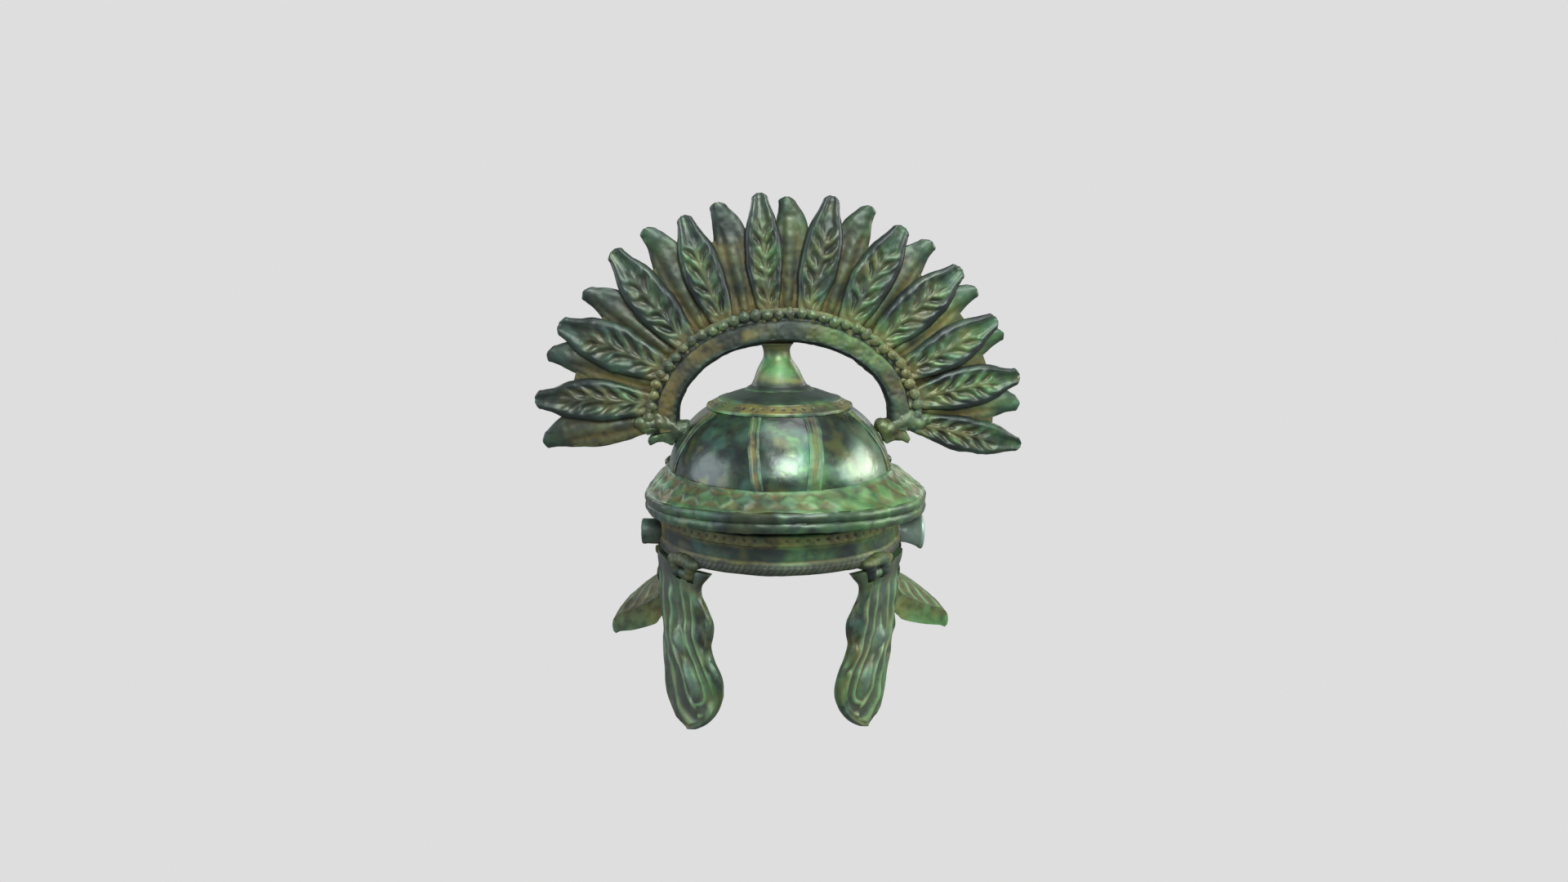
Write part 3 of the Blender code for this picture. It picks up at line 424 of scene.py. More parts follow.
def joined(mesh, operation, other):
    """The Boolean of two closed meshes."""
    cutter = bpy.data.objects.new("cutter", other)
    bpy.context.scene.collection.objects.link(cutter)
    made = evaluated_mesh(mesh, [("BOOLEAN", {"object": cutter, "operation": operation, "solver": "EXACT"})])
    bpy.data.objects.remove(cutter)
    return face_outwards(made)


def softened(node, voxel, rounds, wave, seed, balls=()):
    """A CAD node's shape with its edges melted as in a casting, and lumps of metal added to it."""
    shape = bmesh.new()
    shape.from_mesh(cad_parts[node].data)
    for middle, radius in balls:
        bmesh.ops.create_icosphere(shape, subdivisions=3, radius=radius, matrix=Matrix.Translation(middle))
    mesh = bpy.data.meshes.new(node + "_soft")
    shape.to_mesh(mesh)
    shape.free()
    mesh = evaluated_mesh(mesh, [
        ("REMESH", {"mode": "VOXEL", "voxel_size": voxel}),
        ("SMOOTH", {"factor": 0.6, "iterations": rounds}),
    ])
    points = read(mesh.vertices, "co", 3)
    normals = read(mesh.vertex_normals, "vector", 3)
    lumps = 0.6 * noise(points, 0.007, seed) + 0.4 * noise(points, 0.0025, seed + 1)
    points += normals * (wave * lumps)[:, None]
    mesh.vertices.foreach_set("co", points.astype(np.float32).ravel())
    return face_outwards(mesh)


def stained(mesh, seed, ochre=0.6, dark=0.6, size=0.014):
    """Stores patches of earth and of dark patina on a mesh that has no masks of its own."""
    points = read(mesh.vertices, "co", 3)
    for number, (mask, amount) in enumerate((("ochre", ochre), ("dark", dark))):
        patches = amount * (0.35 + 0.65 * ramp(noise(points, size, seed + 100 * number), -0.2, 0.5))
        attribute = mesh.attributes.new(mask, "FLOAT", "POINT")
        attribute.data.foreach_set("value", patches.astype(np.float32))
    return mesh


def add_node(tree, kind, inputs=None, output=0, **settings):
    """Adds a node, sets it, fills its inputs with values or links and returns one of its outputs."""
    node = tree.nodes.new(kind)
    for key, value in settings.items():
        setattr(node, key, value)
    for key, value in (inputs or {}).items():
        if isinstance(value, bpy.types.NodeSocket):
            tree.links.new(value, node.inputs[key])
        else:
            node.inputs[key].default_value = value
    return node.outputs[output] if len(node.outputs) else node


# Three states of one bronze, by how far its green shows, how much earth it holds and how smooth it is
FINISHES = {
    # Cast bronze, blue-grey patina rubbed with wax: nearly black, with broad soft highlights
    "waxed_dark_bronze": {
        "greenness": -0.095, "earth": 0.35, "bare": 0.60,
        "roughness": 0.30, "wax": 0.9, "wax_roughness": 0.24,
    },
    # Cast bronze under copper-carbonate verdigris: green, blotched, worn paler where it stands out
    "verdigris_bronze": {
        "greenness": -0.005, "earth": 0.45, "bare": 0.35,
        "roughness": 0.45, "wax": 0.4, "wax_roughness": 0.34,
    },
    # Cast bronze with brown oxide and burial earth: matt, ochre, green only in flecks
    "earthy_brown_bronze": {
        "greenness": -0.040, "earth": 0.90, "bare": 0.25,
        "roughness": 0.52, "wax": 0.1, "wax_roughness": 0.40,
    },
}


def bronze(name):
    """Old cast bronze: its patina changes over 80 mm, with blotches 35 mm across, flecks 9 mm across and a
    skin of 2 mm grains; earth lies in its hollows, its edges are worn, and brown shade is painted
    where the AO node finds little open sky."""
    if name in bpy.data.materials:
        return bpy.data.materials[name]
    finish = FINISHES[name]
    material = bpy.data.materials.new(name)
    material.use_nodes = True
    tree = material.node_tree
    add = functools.partial(add_node, tree)
    colours = bpy.context.scene.helmet_colours
    tint = {key: (*getattr(colours, key), 1.0) for key in colours.__annotations__}
    where = add("ShaderNodeTexCoord", output="Object")
    across = add("ShaderNodeSeparateXYZ", {"Vector": where})
    texture = {
        key: add("ShaderNodeTexNoise",
                 {"Vector": where, "Scale": 1 / size, "Detail": detail, "Distortion": twist})
        for key, size, detail, twist in (
            ("broad", 0.080, 1.0, 0.3), ("blotch", 0.035, 2.0, 0.3), ("stain", 0.024, 1.0, 0.0),
            ("fleck", 0.009, 2.0, 0.2), ("grain", 0.0022, 2.0, 0.0),
        )
    }
    mask = {key: add("ShaderNodeAttribute", output="Fac", attribute_name=key)
            for key in ("hollow", "edge", "ochre", "dark", "pale", "bloom")}
    # Painted shade: the AO node tells how much open sky each point sees
    painted_ao_shade = add("ShaderNodeAmbientOcclusion", {"Distance": 0.020}, output="AO", samples=6)
    tone = add("ShaderNodeMath", {0: across, 1: 0.33, 2: finish["greenness"]}, operation="MULTIPLY_ADD")
    for key, part in (("fleck", 0.24), ("blotch", 0.36), ("broad", 0.40)):
        tone = add("ShaderNodeMath", {0: texture[key], 1: part, 2: tone}, operation="MULTIPLY_ADD")
    smooth = {
        key: add("ShaderNodeMapRange", {"Value": value, 1: low, 2: high, 3: start, 4: end},
                 interpolation_type="SMOOTHSTEP")
        for key, value, low, high, start, end in (
            ("deep", tone, 0.37, 0.48, 0.0, 1.0),
            ("mid", tone, 0.45, 0.59, 0.0, 1.0),
            ("bluish", texture["stain"], 0.52, 0.70, 0.0, 0.42),
            ("earthy", texture["stain"], 0.47, 0.30, 0.0, 0.65),
            ("soot", texture["grain"], 0.50, 0.80, 0.0, 0.25),
            ("wear", texture["fleck"], 0.35, 0.65, 0.02, 0.18),
            ("loam", texture["fleck"], 0.20, 0.55, 0.25, 1.0),
            ("patchy", texture["fleck"], 0.25, 0.55, 0.65, 1.0),
            ("painted_crevice_shade", painted_ao_shade, 0.05, 0.65, 0.60, 0.0),
            ("gloss", texture["stain"], 0.35, 0.68, finish["roughness"] - 0.06, finish["roughness"] + 0.12),
        )
    }
    share = {
        key: add("ShaderNodeMath", {0: first, 1: second}, operation="MULTIPLY")
        for key, first, second in (
            ("wear", mask["edge"], smooth["wear"]),
            ("earth", mask["hollow"], finish["earth"]),
            ("ochre", mask["ochre"], smooth["patchy"]),
        )
    }
    loam = add("ShaderNodeMix", {0: smooth["loam"], 6: tint["brown"], 7: tint["ochre"]}, 2, data_type="RGBA")
    body = tint["slate"]
    for amount, over in (
        (smooth["deep"], tint["deep_green"]), (smooth["mid"], tint["mid_green"]),
        (smooth["bluish"], tint["teal"]), (smooth["earthy"], tint["olive"]), (smooth["soot"], tint["slate"]),
        (share["earth"], loam), (share["ochre"], loam), (share["wear"], tint["pale_green"]),
        (mask["pale"], tint["pale_green"]), (mask["bloom"], tint["bloom"]), (mask["dark"], tint["slate"]),
        # Painted shade: brown where the AO node finds little open sky
        (smooth["painted_crevice_shade"], tint["brown"]),
    ):
        body = add("ShaderNodeMix", {0: amount, 6: body, 7: over}, 2, data_type="RGBA")
    roughness = add("ShaderNodeMath", {0: share["ochre"], 1: 0.22, 2: smooth["gloss"]},
                    operation="MULTIPLY_ADD")
    swell = add("ShaderNodeBump", {"Strength": 0.30, "Distance": 0.0040, "Height": texture["stain"]})
    lumps = add("ShaderNodeBump",
                {"Strength": 0.25, "Distance": 0.0010, "Height": texture["fleck"], "Normal": swell})
    pores = add("ShaderNodeBump",
                {"Strength": 0.18, "Distance": 0.0003, "Height": texture["grain"], "Normal": lumps})
    shader = tree.nodes["Principled BSDF"]
    for key, socket in (("Base Color", body), ("Roughness", roughness), ("Normal", pores),
                        ("Coat Normal", lumps)):
        tree.links.new(socket, shader.inputs[key])
    for key, part in (("Metallic", "bare"), ("Coat Weight", "wax"), ("Coat Roughness", "wax_roughness")):
        shader.inputs[key].default_value = finish[part]
    return material


dark_bronze, green_bronze, brown_bronze = (functools.partial(bronze, name) for name in FINISHES)


def relief():
    return bpy.context.scene.helmet_relief


def wave(points, seed_shift, size):
    """The slow unevenness of the casting, in metres."""
    sizes = relief()
    broad = noise(points, size, sizes.seed + seed_shift)
    small = noise(points, size / 3.5, sizes.seed + seed_shift + 40)
    return sizes.casting_wave * (0.7 * broad + 0.3 * small)


def most(*masks):
    """The greatest of some masks at each point."""
    return functools.reduce(np.maximum, masks)


def patches(points, size, seed, low, high):
    """Patches of about that size: 0 where the noise is below low, 1 where it is above high."""
    return ramp(noise(points, size, seed), low, high)


def side_by_side(rows, *blocks):
    """Blocks of columns as one table; a block may be one row that holds for all."""
    full = [np.broadcast_to(block, (len(rows), np.shape(block)[-1])) for block in blocks]
    return np.concatenate(full, axis=1)


def punched_dots(turn, across, least, seed):
    """1 within the dots of a punched row, less where they are worn; one dot lies at each whole turn."""
    nearest = np.round(turn)
    reach = np.hypot((turn - nearest) * relief().dot_pitch, across)
    worn = noise(np.stack([nearest, 0 * turn, 0 * turn], -1), 0.9, seed)
    return fade(reach, 0.0012, 0.0026) * (least + (1 - least) * worn)


class HelmetOperator(bpy.types.Operator):
    """What every step of the helmet shares."""

    bl_options = {"REGISTER", "UNDO"}


class HELMET_OT_bowl(HelmetOperator):
    """Domed bowl with a skirt that is cut away over the face"""

    bl_idname = "helmet.bowl"
    bl_label = "Bowl"

    def execute(self, context):
        cut = np.array([EAR_AZIMUTH - 0.04, EAR_AZIMUTH + 0.04])
        around = np.unique(np.r_[np.arange(-180, 180, 1.5), cut, -cut])
        foot = np.where(np.abs(around) < EAR_AZIMUTH, BROW_CUT_Z, BOWL_LOW.z)
        walls = []
        for wall, steps in ((0.0, 60), (BOWL_WALL, 24)):
            walls.append([dome_point(around, climb, -wall) for climb in np.linspace(89.8, 0, steps)])
            for share in np.linspace(0, 1, steps // 3)[1:]:
                height = DOME_BASE_Z + (foot - DOME_BASE_Z) * share
                walls[-1].append(ring_point(skirt_radius(height) - wall, around, height))
        grid = np.array(walls[0] + walls[1][::-1])
        outer = np.arange(len(grid))[:, None] < len(walls[0])
        grid = emboss(grid, 1.2 * wave(grid, 0, 0.040) * outer)
        # Painted reflection: the right brow panel is painted pale and blue-grey below, like a broad
        # highlight, and stays dark above
        painted_reflection = ramp(grid[..., 0], 0.045, 0.090) * fade(grid[..., 2], 0.112, 0.132) * (grid[..., 1] < 0)
        painted_reflection = painted_reflection * (0.55 + 0.45 * noise(grid, 0.020, 36))
        mesh = skin("bowl_shell", grid, dark=0.5 * ~outer, bloom=0.45 * painted_reflection, pale=0.48 * painted_reflection)
        place("bowl_shell", mesh, dark_bronze(), "dark_bronze", "helmet", "bowl")
        return {"FINISHED"}


class HELMET_OT_straps(HelmetOperator):
    """Double-lined ribs from the crown plate down to the peak"""

    bl_idname = "helmet.straps"
    bl_label = "Ribs over the bowl"

    def execute(self, context):
        crown_climb = math.degrees(math.acos((PLATE_HIGH.x + 0.0010) / BOWL_RADIUS))
        across = np.linspace(-1, 1, 25)
        share = np.linspace(0, 1, 90)[:, None]
        ridges = 0.0009 * (bump(np.abs(across), 0.60, 0.24) + 0.25 * bump(across, 0.0, 0.2))
        groove = np.pad(bump(across, -0.15, 0.45), (0, 5))
        for number, (strap, side) in enumerate(itertools.product(STRAPS, SIDES)):
            peak_z = PEAK_TOP_Z + PEAK_SIDE_RISE * side_swell(strap["foot"])
            foot_z = peak_z if strap["on_peak"] else DOME_BASE_Z
            foot_climb = math.degrees(math.asin((foot_z - DOME_BASE_Z) / DOME_HEIGHT))
            climb = foot_climb + (crown_climb - foot_climb) * share
            azimuth = SIDES[side] * (strap["foot"] + (strap["top"] - strap["foot"]) * share)
            radius = BOWL_RADIUS * np.cos(np.radians(climb))
            half = np.degrees(0.5 * relief().strap_width * strap[side] / radius)
            drift = 0.10 * noise(np.stack([share * 0.1, number + 0 * share, 0 * share], -1), 0.012, 3)
            top = dome_point(azimuth + half * (across + drift), climb, 0.0008 + ridges)
            under = dome_point(azimuth + half * [1.0, 0.4, 0.0, -0.4, -1.0], climb, -0.0006)
            grid = np.concatenate([top, under], axis=1)
            grid = emboss(grid, 1.1 * wave(grid, number, 0.010))
            worn = patches(grid, 0.018, number + 5, -0.7, 0.3)
            name = f"strap_{strap['place']}_{side}"
            mesh = skin(name, grid, ochre=0.90 * groove * worn, dark=0.5 * (1 - worn))
            place(name + "_rib", mesh, green_bronze(), "green_bronze", "helmet", name)
        return {"FINISHED"}


def crown_plate():
    """The ring plate, with two rails along its rim and punched dots between them."""
    rim = PLATE_HIGH.x
    strip = rim - 0.0066
    around = np.linspace(-180, 180, 420, endpoint=False)[:, None]
    face = np.r_[np.linspace(0.0236, rim - 0.015, 14), np.linspace(rim - 0.0145, rim - 0.0006, 34)]
    under = np.linspace(rim - 0.002, 0.0236, 14)
    radius = np.r_[face, [rim, rim], under]
    lift = np.repeat((0.0022, 0.0016, 0.0004, 0.0002), (len(face), 1, 1, len(under)))
    grid = ring_point(radius, around, dome_rise(radius, lift))
    on_face = np.arange(len(radius)) < len(face)
    turn = around / 360 * round(2 * math.pi * strip / relief().dot_pitch)
    dots = on_face * punched_dots(turn, radius - strip, 0.65, 5)
    rails = bump(radius, rim - 0.0011, 0.0009) + bump(radius, rim - 0.0118, 0.0008)
    height = 0.0006 * rails - 0.0004 * fade(radius, rim - 0.018, rim - 0.0125)
    worn = patches(grid, 0.016, 29, -0.6, 0.5)
    dark = on_face * most(dots, 0.9 * fade(radius, rim - 0.020, rim - 0.011), 0.50 * (1 - worn))
    ochre = on_face * (0.35 + 0.35 * worn) * ramp(radius, rim - 0.014, rim - 0.008) * (1 - dots)
    grid = emboss(grid, on_face * height - relief().dot_depth * dots + 1.2 * wave(grid, 2, 0.016))
    place("crown_plate_ring", skin("crown_plate_ring", grid, True, dark=dark, ochre=ochre),
          green_bronze(), "green_bronze", "helmet", "crown_plate")


def crest_post():
    """The post, from under the arch down to a foot that spreads over the crown."""
    top = POST_HIGH.z
    drops = (0.0, 0.002, 0.005, 0.009, 0.014, 0.019, 0.024, 0.029, 0.034, 0.0385)
    widths = (0.0165, 0.0146, 0.0133, 0.0129, 0.0138, 0.0166, 0.0196, 0.0219, 0.0239, 0.0262)
    depth = np.linspace(0, drops[-1], 70)
    foot, under = np.linspace(0.0272, 0.0374, 18), np.linspace(0.0370, 0.0004, 14)
    rim_z = dome_rise(POST_HIGH.x, 0.0028)
    radius = np.r_[[0.02 * widths[0]], through(drops, widths, depth), foot, [0.0379, 0.0379], under]
    height = np.r_[
        [top], top - depth, dome_rise(foot, 0.0042 - 0.0029 * ramp(foot, 0.027, 0.036)),
        [rim_z - 0.0016, rim_z - 0.0020], dome_rise(under, 0.0012),
    ]
    grid = ring_point(radius[:, None], np.linspace(-180, 180, 96, endpoint=False), height[:, None])
    grid[..., 0] -= 0.0028 * np.clip((grid[..., 2] - dome_rise(0.03)) / 0.04, 0, 1)
    grid[..., 2] = np.minimum(grid[..., 2], arch_underside(grid[..., 0]) + 0.0012)
    grid = emboss(grid, 1.2 * wave(grid, 3, 0.020) * ramp(top - grid[..., 2], 0.001, 0.006))
    neck = ramp(grid[..., 2], top - 0.016, top - 0.004)
    out = np.hypot(grid[..., 0], grid[..., 1] / HEAD_STRETCH)
    # Painted shade: the foot darkens in a ring round the post's base, where it meets the crown
    ring = ramp(out, 0.0235, 0.0265) * fade(out, 0.0310, 0.0345)
    rim = bump(out, 0.0245, 0.0022) * ramp(grid[..., 2], 0.150, 0.152)
    mesh = skin("crest_post_stem", grid,
                ochre=most(0.75 * neck, 0.6 * rim), dark=most(0.9 * ring, 0.55 * neck))
    place("crest_post_stem", mesh, green_bronze(), "green_bronze", "helmet", "crest_post")


class HELMET_OT_crown(HelmetOperator):
    """Ring plate round the crown with a strip of punched dots, and the flared post that carries the crest"""

    bl_idname = "helmet.crown"
    bl_label = "Crown plate and post"

    def execute(self, context):
        crown_plate()
        crest_post()
        return {"FINISHED"}


def bead_tree(pitch, size, material):
    """Beads along a curve, each a little different, as a tree with named inputs."""
    tree = bpy.data.node_groups.new("beads_along_edge", "GeometryNodeTree")
    tree.interface.new_socket("Edge", in_out="INPUT", socket_type="NodeSocketGeometry")
    for label, value in (("Pitch", pitch), ("Size", size)):
        socket = tree.interface.new_socket(label, in_out="INPUT", socket_type="NodeSocketFloat")
        socket.default_value = value
    tree.interface.new_socket("Seed", in_out="INPUT", socket_type="NodeSocketInt")
    tree.interface.new_socket("Beads", in_out="OUTPUT", socket_type="NodeSocketGeometry")
    add = functools.partial(add_node, tree)
    given = tree.nodes.new("NodeGroupInput").outputs
    spaced = add("GeometryNodeResampleCurve",
                 {"Curve": given["Edge"], "Length": given["Pitch"]}, mode="LENGTH")
    ball = add("GeometryNodeMeshIcoSphere", {"Radius": given["Size"], "Subdivisions": 2})
    least, greatest = (1.05, 0.60, 1.05), (1.65, 0.95, 1.50)
    uneven = add("FunctionNodeRandomValue", {0: least, 1: greatest, "Seed": given["Seed"]},
                 data_type="FLOAT_VECTOR")
    along = add("GeometryNodeInputTangent")
    turned = add("FunctionNodeAlignRotationToVector", {"Vector": along}, axis="Z")
    beads = add("GeometryNodeInstanceOnPoints",
                {"Points": spaced, "Instance": ball, "Rotation": turned, "Scale": uneven})
    real = add("GeometryNodeRealizeInstances", {"Geometry": beads})
    coated = add("GeometryNodeSetMaterial", {"Geometry": real, "Material": material})
    add("NodeGroupOutput", {0: coated})
    return tree


def beads_along(points, pitch, size, seed, material):
    """A mesh of beads set along a line of points by Geometry Nodes."""
    curve = bpy.data.curves.new("bead_line", "CURVE")
    curve.dimensions = "3D"
    spline = curve.splines.new("POLY")
    spline.points.add(len(points) - 1)
    spline.points.foreach_set("co", np.c_[points, np.ones(len(points))].ravel())
    holder = bpy.data.objects.new("bead_line", curve)
    bpy.context.scene.collection.objects.link(holder)
    step = holder.modifiers.new("beads", "NODES")
    step.node_group = bead_tree(pitch, size, material)
    wanted = {"Pitch": pitch, "Size": size, "Seed": seed}
    for item in step.node_group.interface.items_tree:
        if item.in_out == "INPUT" and item.name in wanted:
            step[item.identifier] = wanted[item.name]
    evaluated = holder.evaluated_get(bpy.context.evaluated_depsgraph_get())
    made = bpy.data.meshes.new_from_object(evaluated)
    bpy.data.objects.remove(holder)
    return made


def arch_point(angle, out, depth):
    """Points of the arch: angle round it, out from the hole's edge, depth along Y."""
    turn = np.radians(angle)
    x = CREST_X + (ARCH_HALF_SPAN + out) * np.cos(turn)
    z = ARCH_CENTRE_Z + (ARCH_RISE + out) * np.sin(turn)
    return np.stack(np.broadcast_arrays(x, depth, z), axis=-1)


class HELMET_OT_arch(HelmetOperator):
    """Arch of the crest with a beaded edge, and the fin that carries both rows of feathers"""

    bl_idname = "helmet.arch"
    bl_label = "Crest arch"

    def execute(self, context):
        sizes = relief()
        half, band = ARCH_HALF_DEPTH, ARCH_FACE
        turn = np.radians(np.linspace(-80, 80, 9))
        face_share = np.linspace(0.10, 1.0, 34)
        fin_out = np.r_[[band], np.linspace(band + 0.001, ARCH_BAND + FIN_REACH, 6)]
        fin_y = FIN_HALF * (1 + 4.0 * (fin_out == band))
        upper_out = np.r_[face_share * band, fin_out]
        upper_y = np.r_[half * through(ARCH_ACROSS, ARCH_SWELL, face_share), fin_y]
        section_out = np.r_[0.0026 * (1 - np.cos(turn)), upper_out, upper_out[::-1]]
        section_y = np.r_[0.74 * half * np.sin(turn), upper_y, -upper_y[::-1]]
        angles = np.linspace(ARCH_END_ANGLE, 180 - ARCH_END_ANGLE, 380)
        grid = arch_point(angles[:, None], section_out, section_y)
        steps = np.linalg.norm(np.diff(arch_point(angles, band, 0.0), axis=0), axis=1)
        travelled = np.r_[[0], np.cumsum(steps)][:, None]
        share = section_out / band
        on_face = (np.abs(section_y) > 0.6 * half) & (share > 0.05) & (share < 1.01)
        on_fin = share > 1.01
        beat = 0.5 + 0.5 * np.cos(2 * math.pi * (travelled / sizes.bead_pitch + 0.25 * noise(grid, 0.025, 9)))
        pits = on_face * bump(share, 0.71, 0.070) * (0.60 + 0.40 * beat)
        grid = emboss(grid, 3.4 * wave(grid, 4, 0.012) * (share < 1.01) - 0.0018 * pits)
        leftness = fade(grid[..., 0], -0.02, 0.06)
        middle = bump(grid[..., 0], 0.006, 0.026)
        stains = patches(grid, 0.013, 28, -0.4, 0.5)
        earthy = on_face * (0.25 + 0.70 * leftness) * fade(share, 0.58, 0.68) * ramp(share, 0.12, 0.28)
        ochre = most(earthy * (1 - 0.8 * middle), 0.85 * on_fin, 0.55 * on_face * ramp(share, 0.84, 0.98))
        plain = on_face * fade(share, 0.68, 0.80)
        # The groove under the beads and the gaps between them are dark
        groove = on_face * ramp(share, 0.58, 0.66) * fade(share, 0.80, 0.92)
        dark = most(
            np.clip(1.5 * pits, 0, 1), 0.95 * fade(share, 0.12, 0.26), 0.9 * middle * plain,
            (0.45 + 0.50 * stains) * (0.45 + 0.55 * leftness) * plain, 0.85 * groove, 0.50 * on_fin,
            (0.24 + 0.20 * leftness) * on_face,
        )
        mesh = skin("crest_arch_band", grid, dark=dark, ochre=ochre)
        place("crest_arch_band", mesh, brown_bronze(), "brown_bronze", "helmet", "crest_arch")
        angles = np.linspace(ARCH_END_ANGLE + 3, 177 - ARCH_END_ANGLE, 300)
        for face, y, seed in (("front", -0.0080, 3), ("rear", 0.0080, 8)):
            line = arch_point(angles, 0.86 * band + 0.0013 * np.sin(angles / 4.0), y)
            beads = beads_along(line, sizes.bead_pitch, sizes.bead_size, seed, green_bronze())
            stained(beads, seed, 0.7, 0.6, 0.022)
            place("arch_beads_" + face, beads, green_bronze(), "green_bronze", "helmet")
        return {"FINISHED"}


def feather_line(node):
    """A feather's root, tip and half width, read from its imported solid, in X and Z."""
    solid = read(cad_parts[node].data.vertices, "co", 3)
    points = np.unique(np.round(solid, 6), axis=0)[:, (0, 2)]
    spine = points.mean(0) - np.array([CREST_X, ARCH_CENTRE_Z])
    for _ in range(4):
        order = np.argsort(points @ spine)
        root, tip = points[order[:7]].mean(0), points[order[-7:]].mean(0)
        spine = tip - root
    square = np.array([spine[1], -spine[0]]) / np.linalg.norm(spine)
    return root, tip, np.abs((points - root) @ square).max()


def feather(node, facing, number):
    """A leaf-like feather with a hollow back; facing is -1 in the front row and 1 in the rear one."""
    sizes = relief()
    root, tip, half = feather_line(node)
    spine = tip - root
    length = np.linalg.norm(spine)
    square = np.array([spine[1], -spine[0]]) / length
    arch = np.array([ARCH_HALF_SPAN + ARCH_BAND, ARCH_RISE + ARCH_BAND])
    normal = (root - np.array([CREST_X, ARCH_CENTRE_Z])) / arch**2
    seat = np.array([normal[1], -normal[0]]) / np.linalg.norm(normal)
    outward = 1 if root[0] > CREST_X + 0.01 else -1
    rng = np.random.default_rng(sizes.seed + 100 * number + facing)
    bow, lean = rng.uniform(-0.0016, 0.0016), rng.uniform(-0.25, 0.25)
    share = np.r_[np.linspace(0, 0.90, 84), np.linspace(0.91, 1.0, 16)][:, None]
    face = np.linspace(-1, 1, 46)
    t = np.r_[face, np.linspace(0.97, -0.97, 30)]
    on_face = np.arange(len(t)) < len(face)
    on_back = ~on_face
    wobble = 1 + 0.05 * noise(np.stack([share * length, number + 0 * share, 0 * share], -1), 0.012, 21)
    broad, steep = (FRONT_WIDTH, FRONT_WIDTH) if facing < 0 else (REAR_BROAD_WIDTH, REAR_STEEP_WIDTH)
    broad, steep = through(FEATHER_ALONG, broad, share), through(FEATHER_ALONG, steep, share)
    width = half * wobble * np.where(t * outward > 0, steep, broad)
    hook = 0.0030 * outward * ramp(share, 0.60, 1.0) * (facing > 0)
    margin, reach = np.abs(t), np.abs(t * width)
    # The back bulges through the fin, so that the gaps of the other row show a leaf and no plate
    face_height = 0.0088 * through(FEATHER_ALONG, FEATHER_DEPTH, share)
    face_height = face_height * through(LEAF_ACROSS, LEAF_HEIGHT, margin)
    back_height = -0.0011 * (1 - 0.4 * t**2) - 0.0026 * (1 - margin**3) * ramp(share, 0.04, 0.20)
    blend = np.clip(share / 0.3, 0, 1)[..., None]
    across = seat * (1 - blend) + square * blend
    across = across / np.linalg.norm(across, axis=-1, keepdims=True)
    bend = bow * np.sin(math.pi * share) ** 2 + hook
    flat = root + share[..., None] * spine + across * (t * width + bend)[..., None]
    y = facing * (FIN_HALF + SEAT_GAP + np.where(on_face, face_height, back_height))
    grid = np.stack([flat[..., 0], y, flat[..., 1]], axis=-1)

    # Barbs slant away from the rib, and the pits between them differ in depth
    body_part = fade(share, 0.64, 0.84)
    field = ramp(reach, 0.0008, 0.0036) * fade(margin, 0.36, 0.82) * ramp(share, 0.10, 0.20)
    field = field * body_part * on_face
    phase = (share * length - 1.15 * reach) / sizes.barb_pitch + np.where(t > 0, 0.35 + lean, 0.0)
    phase = phase + 0.26 * noise(grid, 0.013, number) + 0.10 * noise(grid, 0.006, number)
    barb = 0.5 + 0.5 * np.cos(2 * math.pi * phase)
    uneven = (0.60 + 0.70 * noise(grid, 0.012, number + 40)).clip(0.05, 1)
    pit = field * fade(barb, 0.0, 1.0) * (0.35 + 0.65 * uneven)
    raised = field * ramp(barb, 0.05, 1.0) * uneven
    rib = bump(reach, 0.0, 0.0036) * ramp(share, 0.02, 0.12) * body_part * on_face
    crease = on_back * bump(margin, 0.42, 0.20) * ramp(share, 0.05, 0.2) * fade(share, 0.66, 0.92)
    ridge = on_back * bump(margin, 0.0, 0.30) * fade(share, 0.55, 0.9)
    height = sizes.rib_height * rib + 0.0010 * raised - sizes.barb_depth * pit
    height = height + 0.0008 * ridge - 0.0010 * crease
    grid = emboss(grid, height + 2.2 * wave(grid, 10 + number, 0.016))
    # Earth lies at the root and along the rib, dark patina in the pits, on the rim and at the tip
    rooted = fade(share, 0.08, 0.26)
    earthy = 0.72 * patches(grid, 0.020, number + 70, -0.1, 0.6) * fade(margin, 0.5, 0.8)
    old = most(
        on_face * most(0.55 * bump(reach, 0, 0.0040) * body_part, earthy * body_part, 0.85 * rooted),
        0.45 * raised * patches(grid, 0.025, number + 130, -0.3, 0.6),
        on_back * (0.70 + 0.20 * crease) * fade(share, 0.60, 0.92) * (1 - 0.2 * ridge),
    )
    rim = on_face * ramp(margin, 0.36, 0.68) * ramp(share, 0.12, 0.3)
    blots = 0.68 + 0.35 * noise(grid, 0.018, number + 110) - 0.42 * ramp(grid[..., 0], 0.10, 0.20)
    shade = most(
        0.95 * pit, (0.95 + 0.40 * noise(grid, 0.022, number + 90)) * rim, 0.40 * rooted,
        0.75 * ramp(share, 0.62, 0.84) * (1 - 0.3 * bump(margin, 0.1, 0.30)),
        blots * ramp(share, 0.1, 0.3) * (1 - 0.4 * raised),
    )
    mesh = skin(node, grid, ochre=old * (1 - pit), dark=shade.clip(0, 1), pale=0.10 * raised + 0.04 * ridge)
    slot = "green_bronze" if facing < 0 else "dark_bronze"
    place(node.replace("feather", "leaf"), mesh, green_bronze(), slot, "helmet", node)


class HELMET_OT_feathers(HelmetOperator):
    """Two rows of leaf-like feathers, with a rib and slanting barbs on each outer face"""

    bl_idname = "helmet.feathers"
    bl_label = "Feathers"

    def execute(self, context):
        for (row, facing), number in itertools.product((("front", -1), ("rear", 1)), range(1, 12)):
            feather(f"feather_{row}_{number:02d}", facing, number)
        return {"FINISHED"}


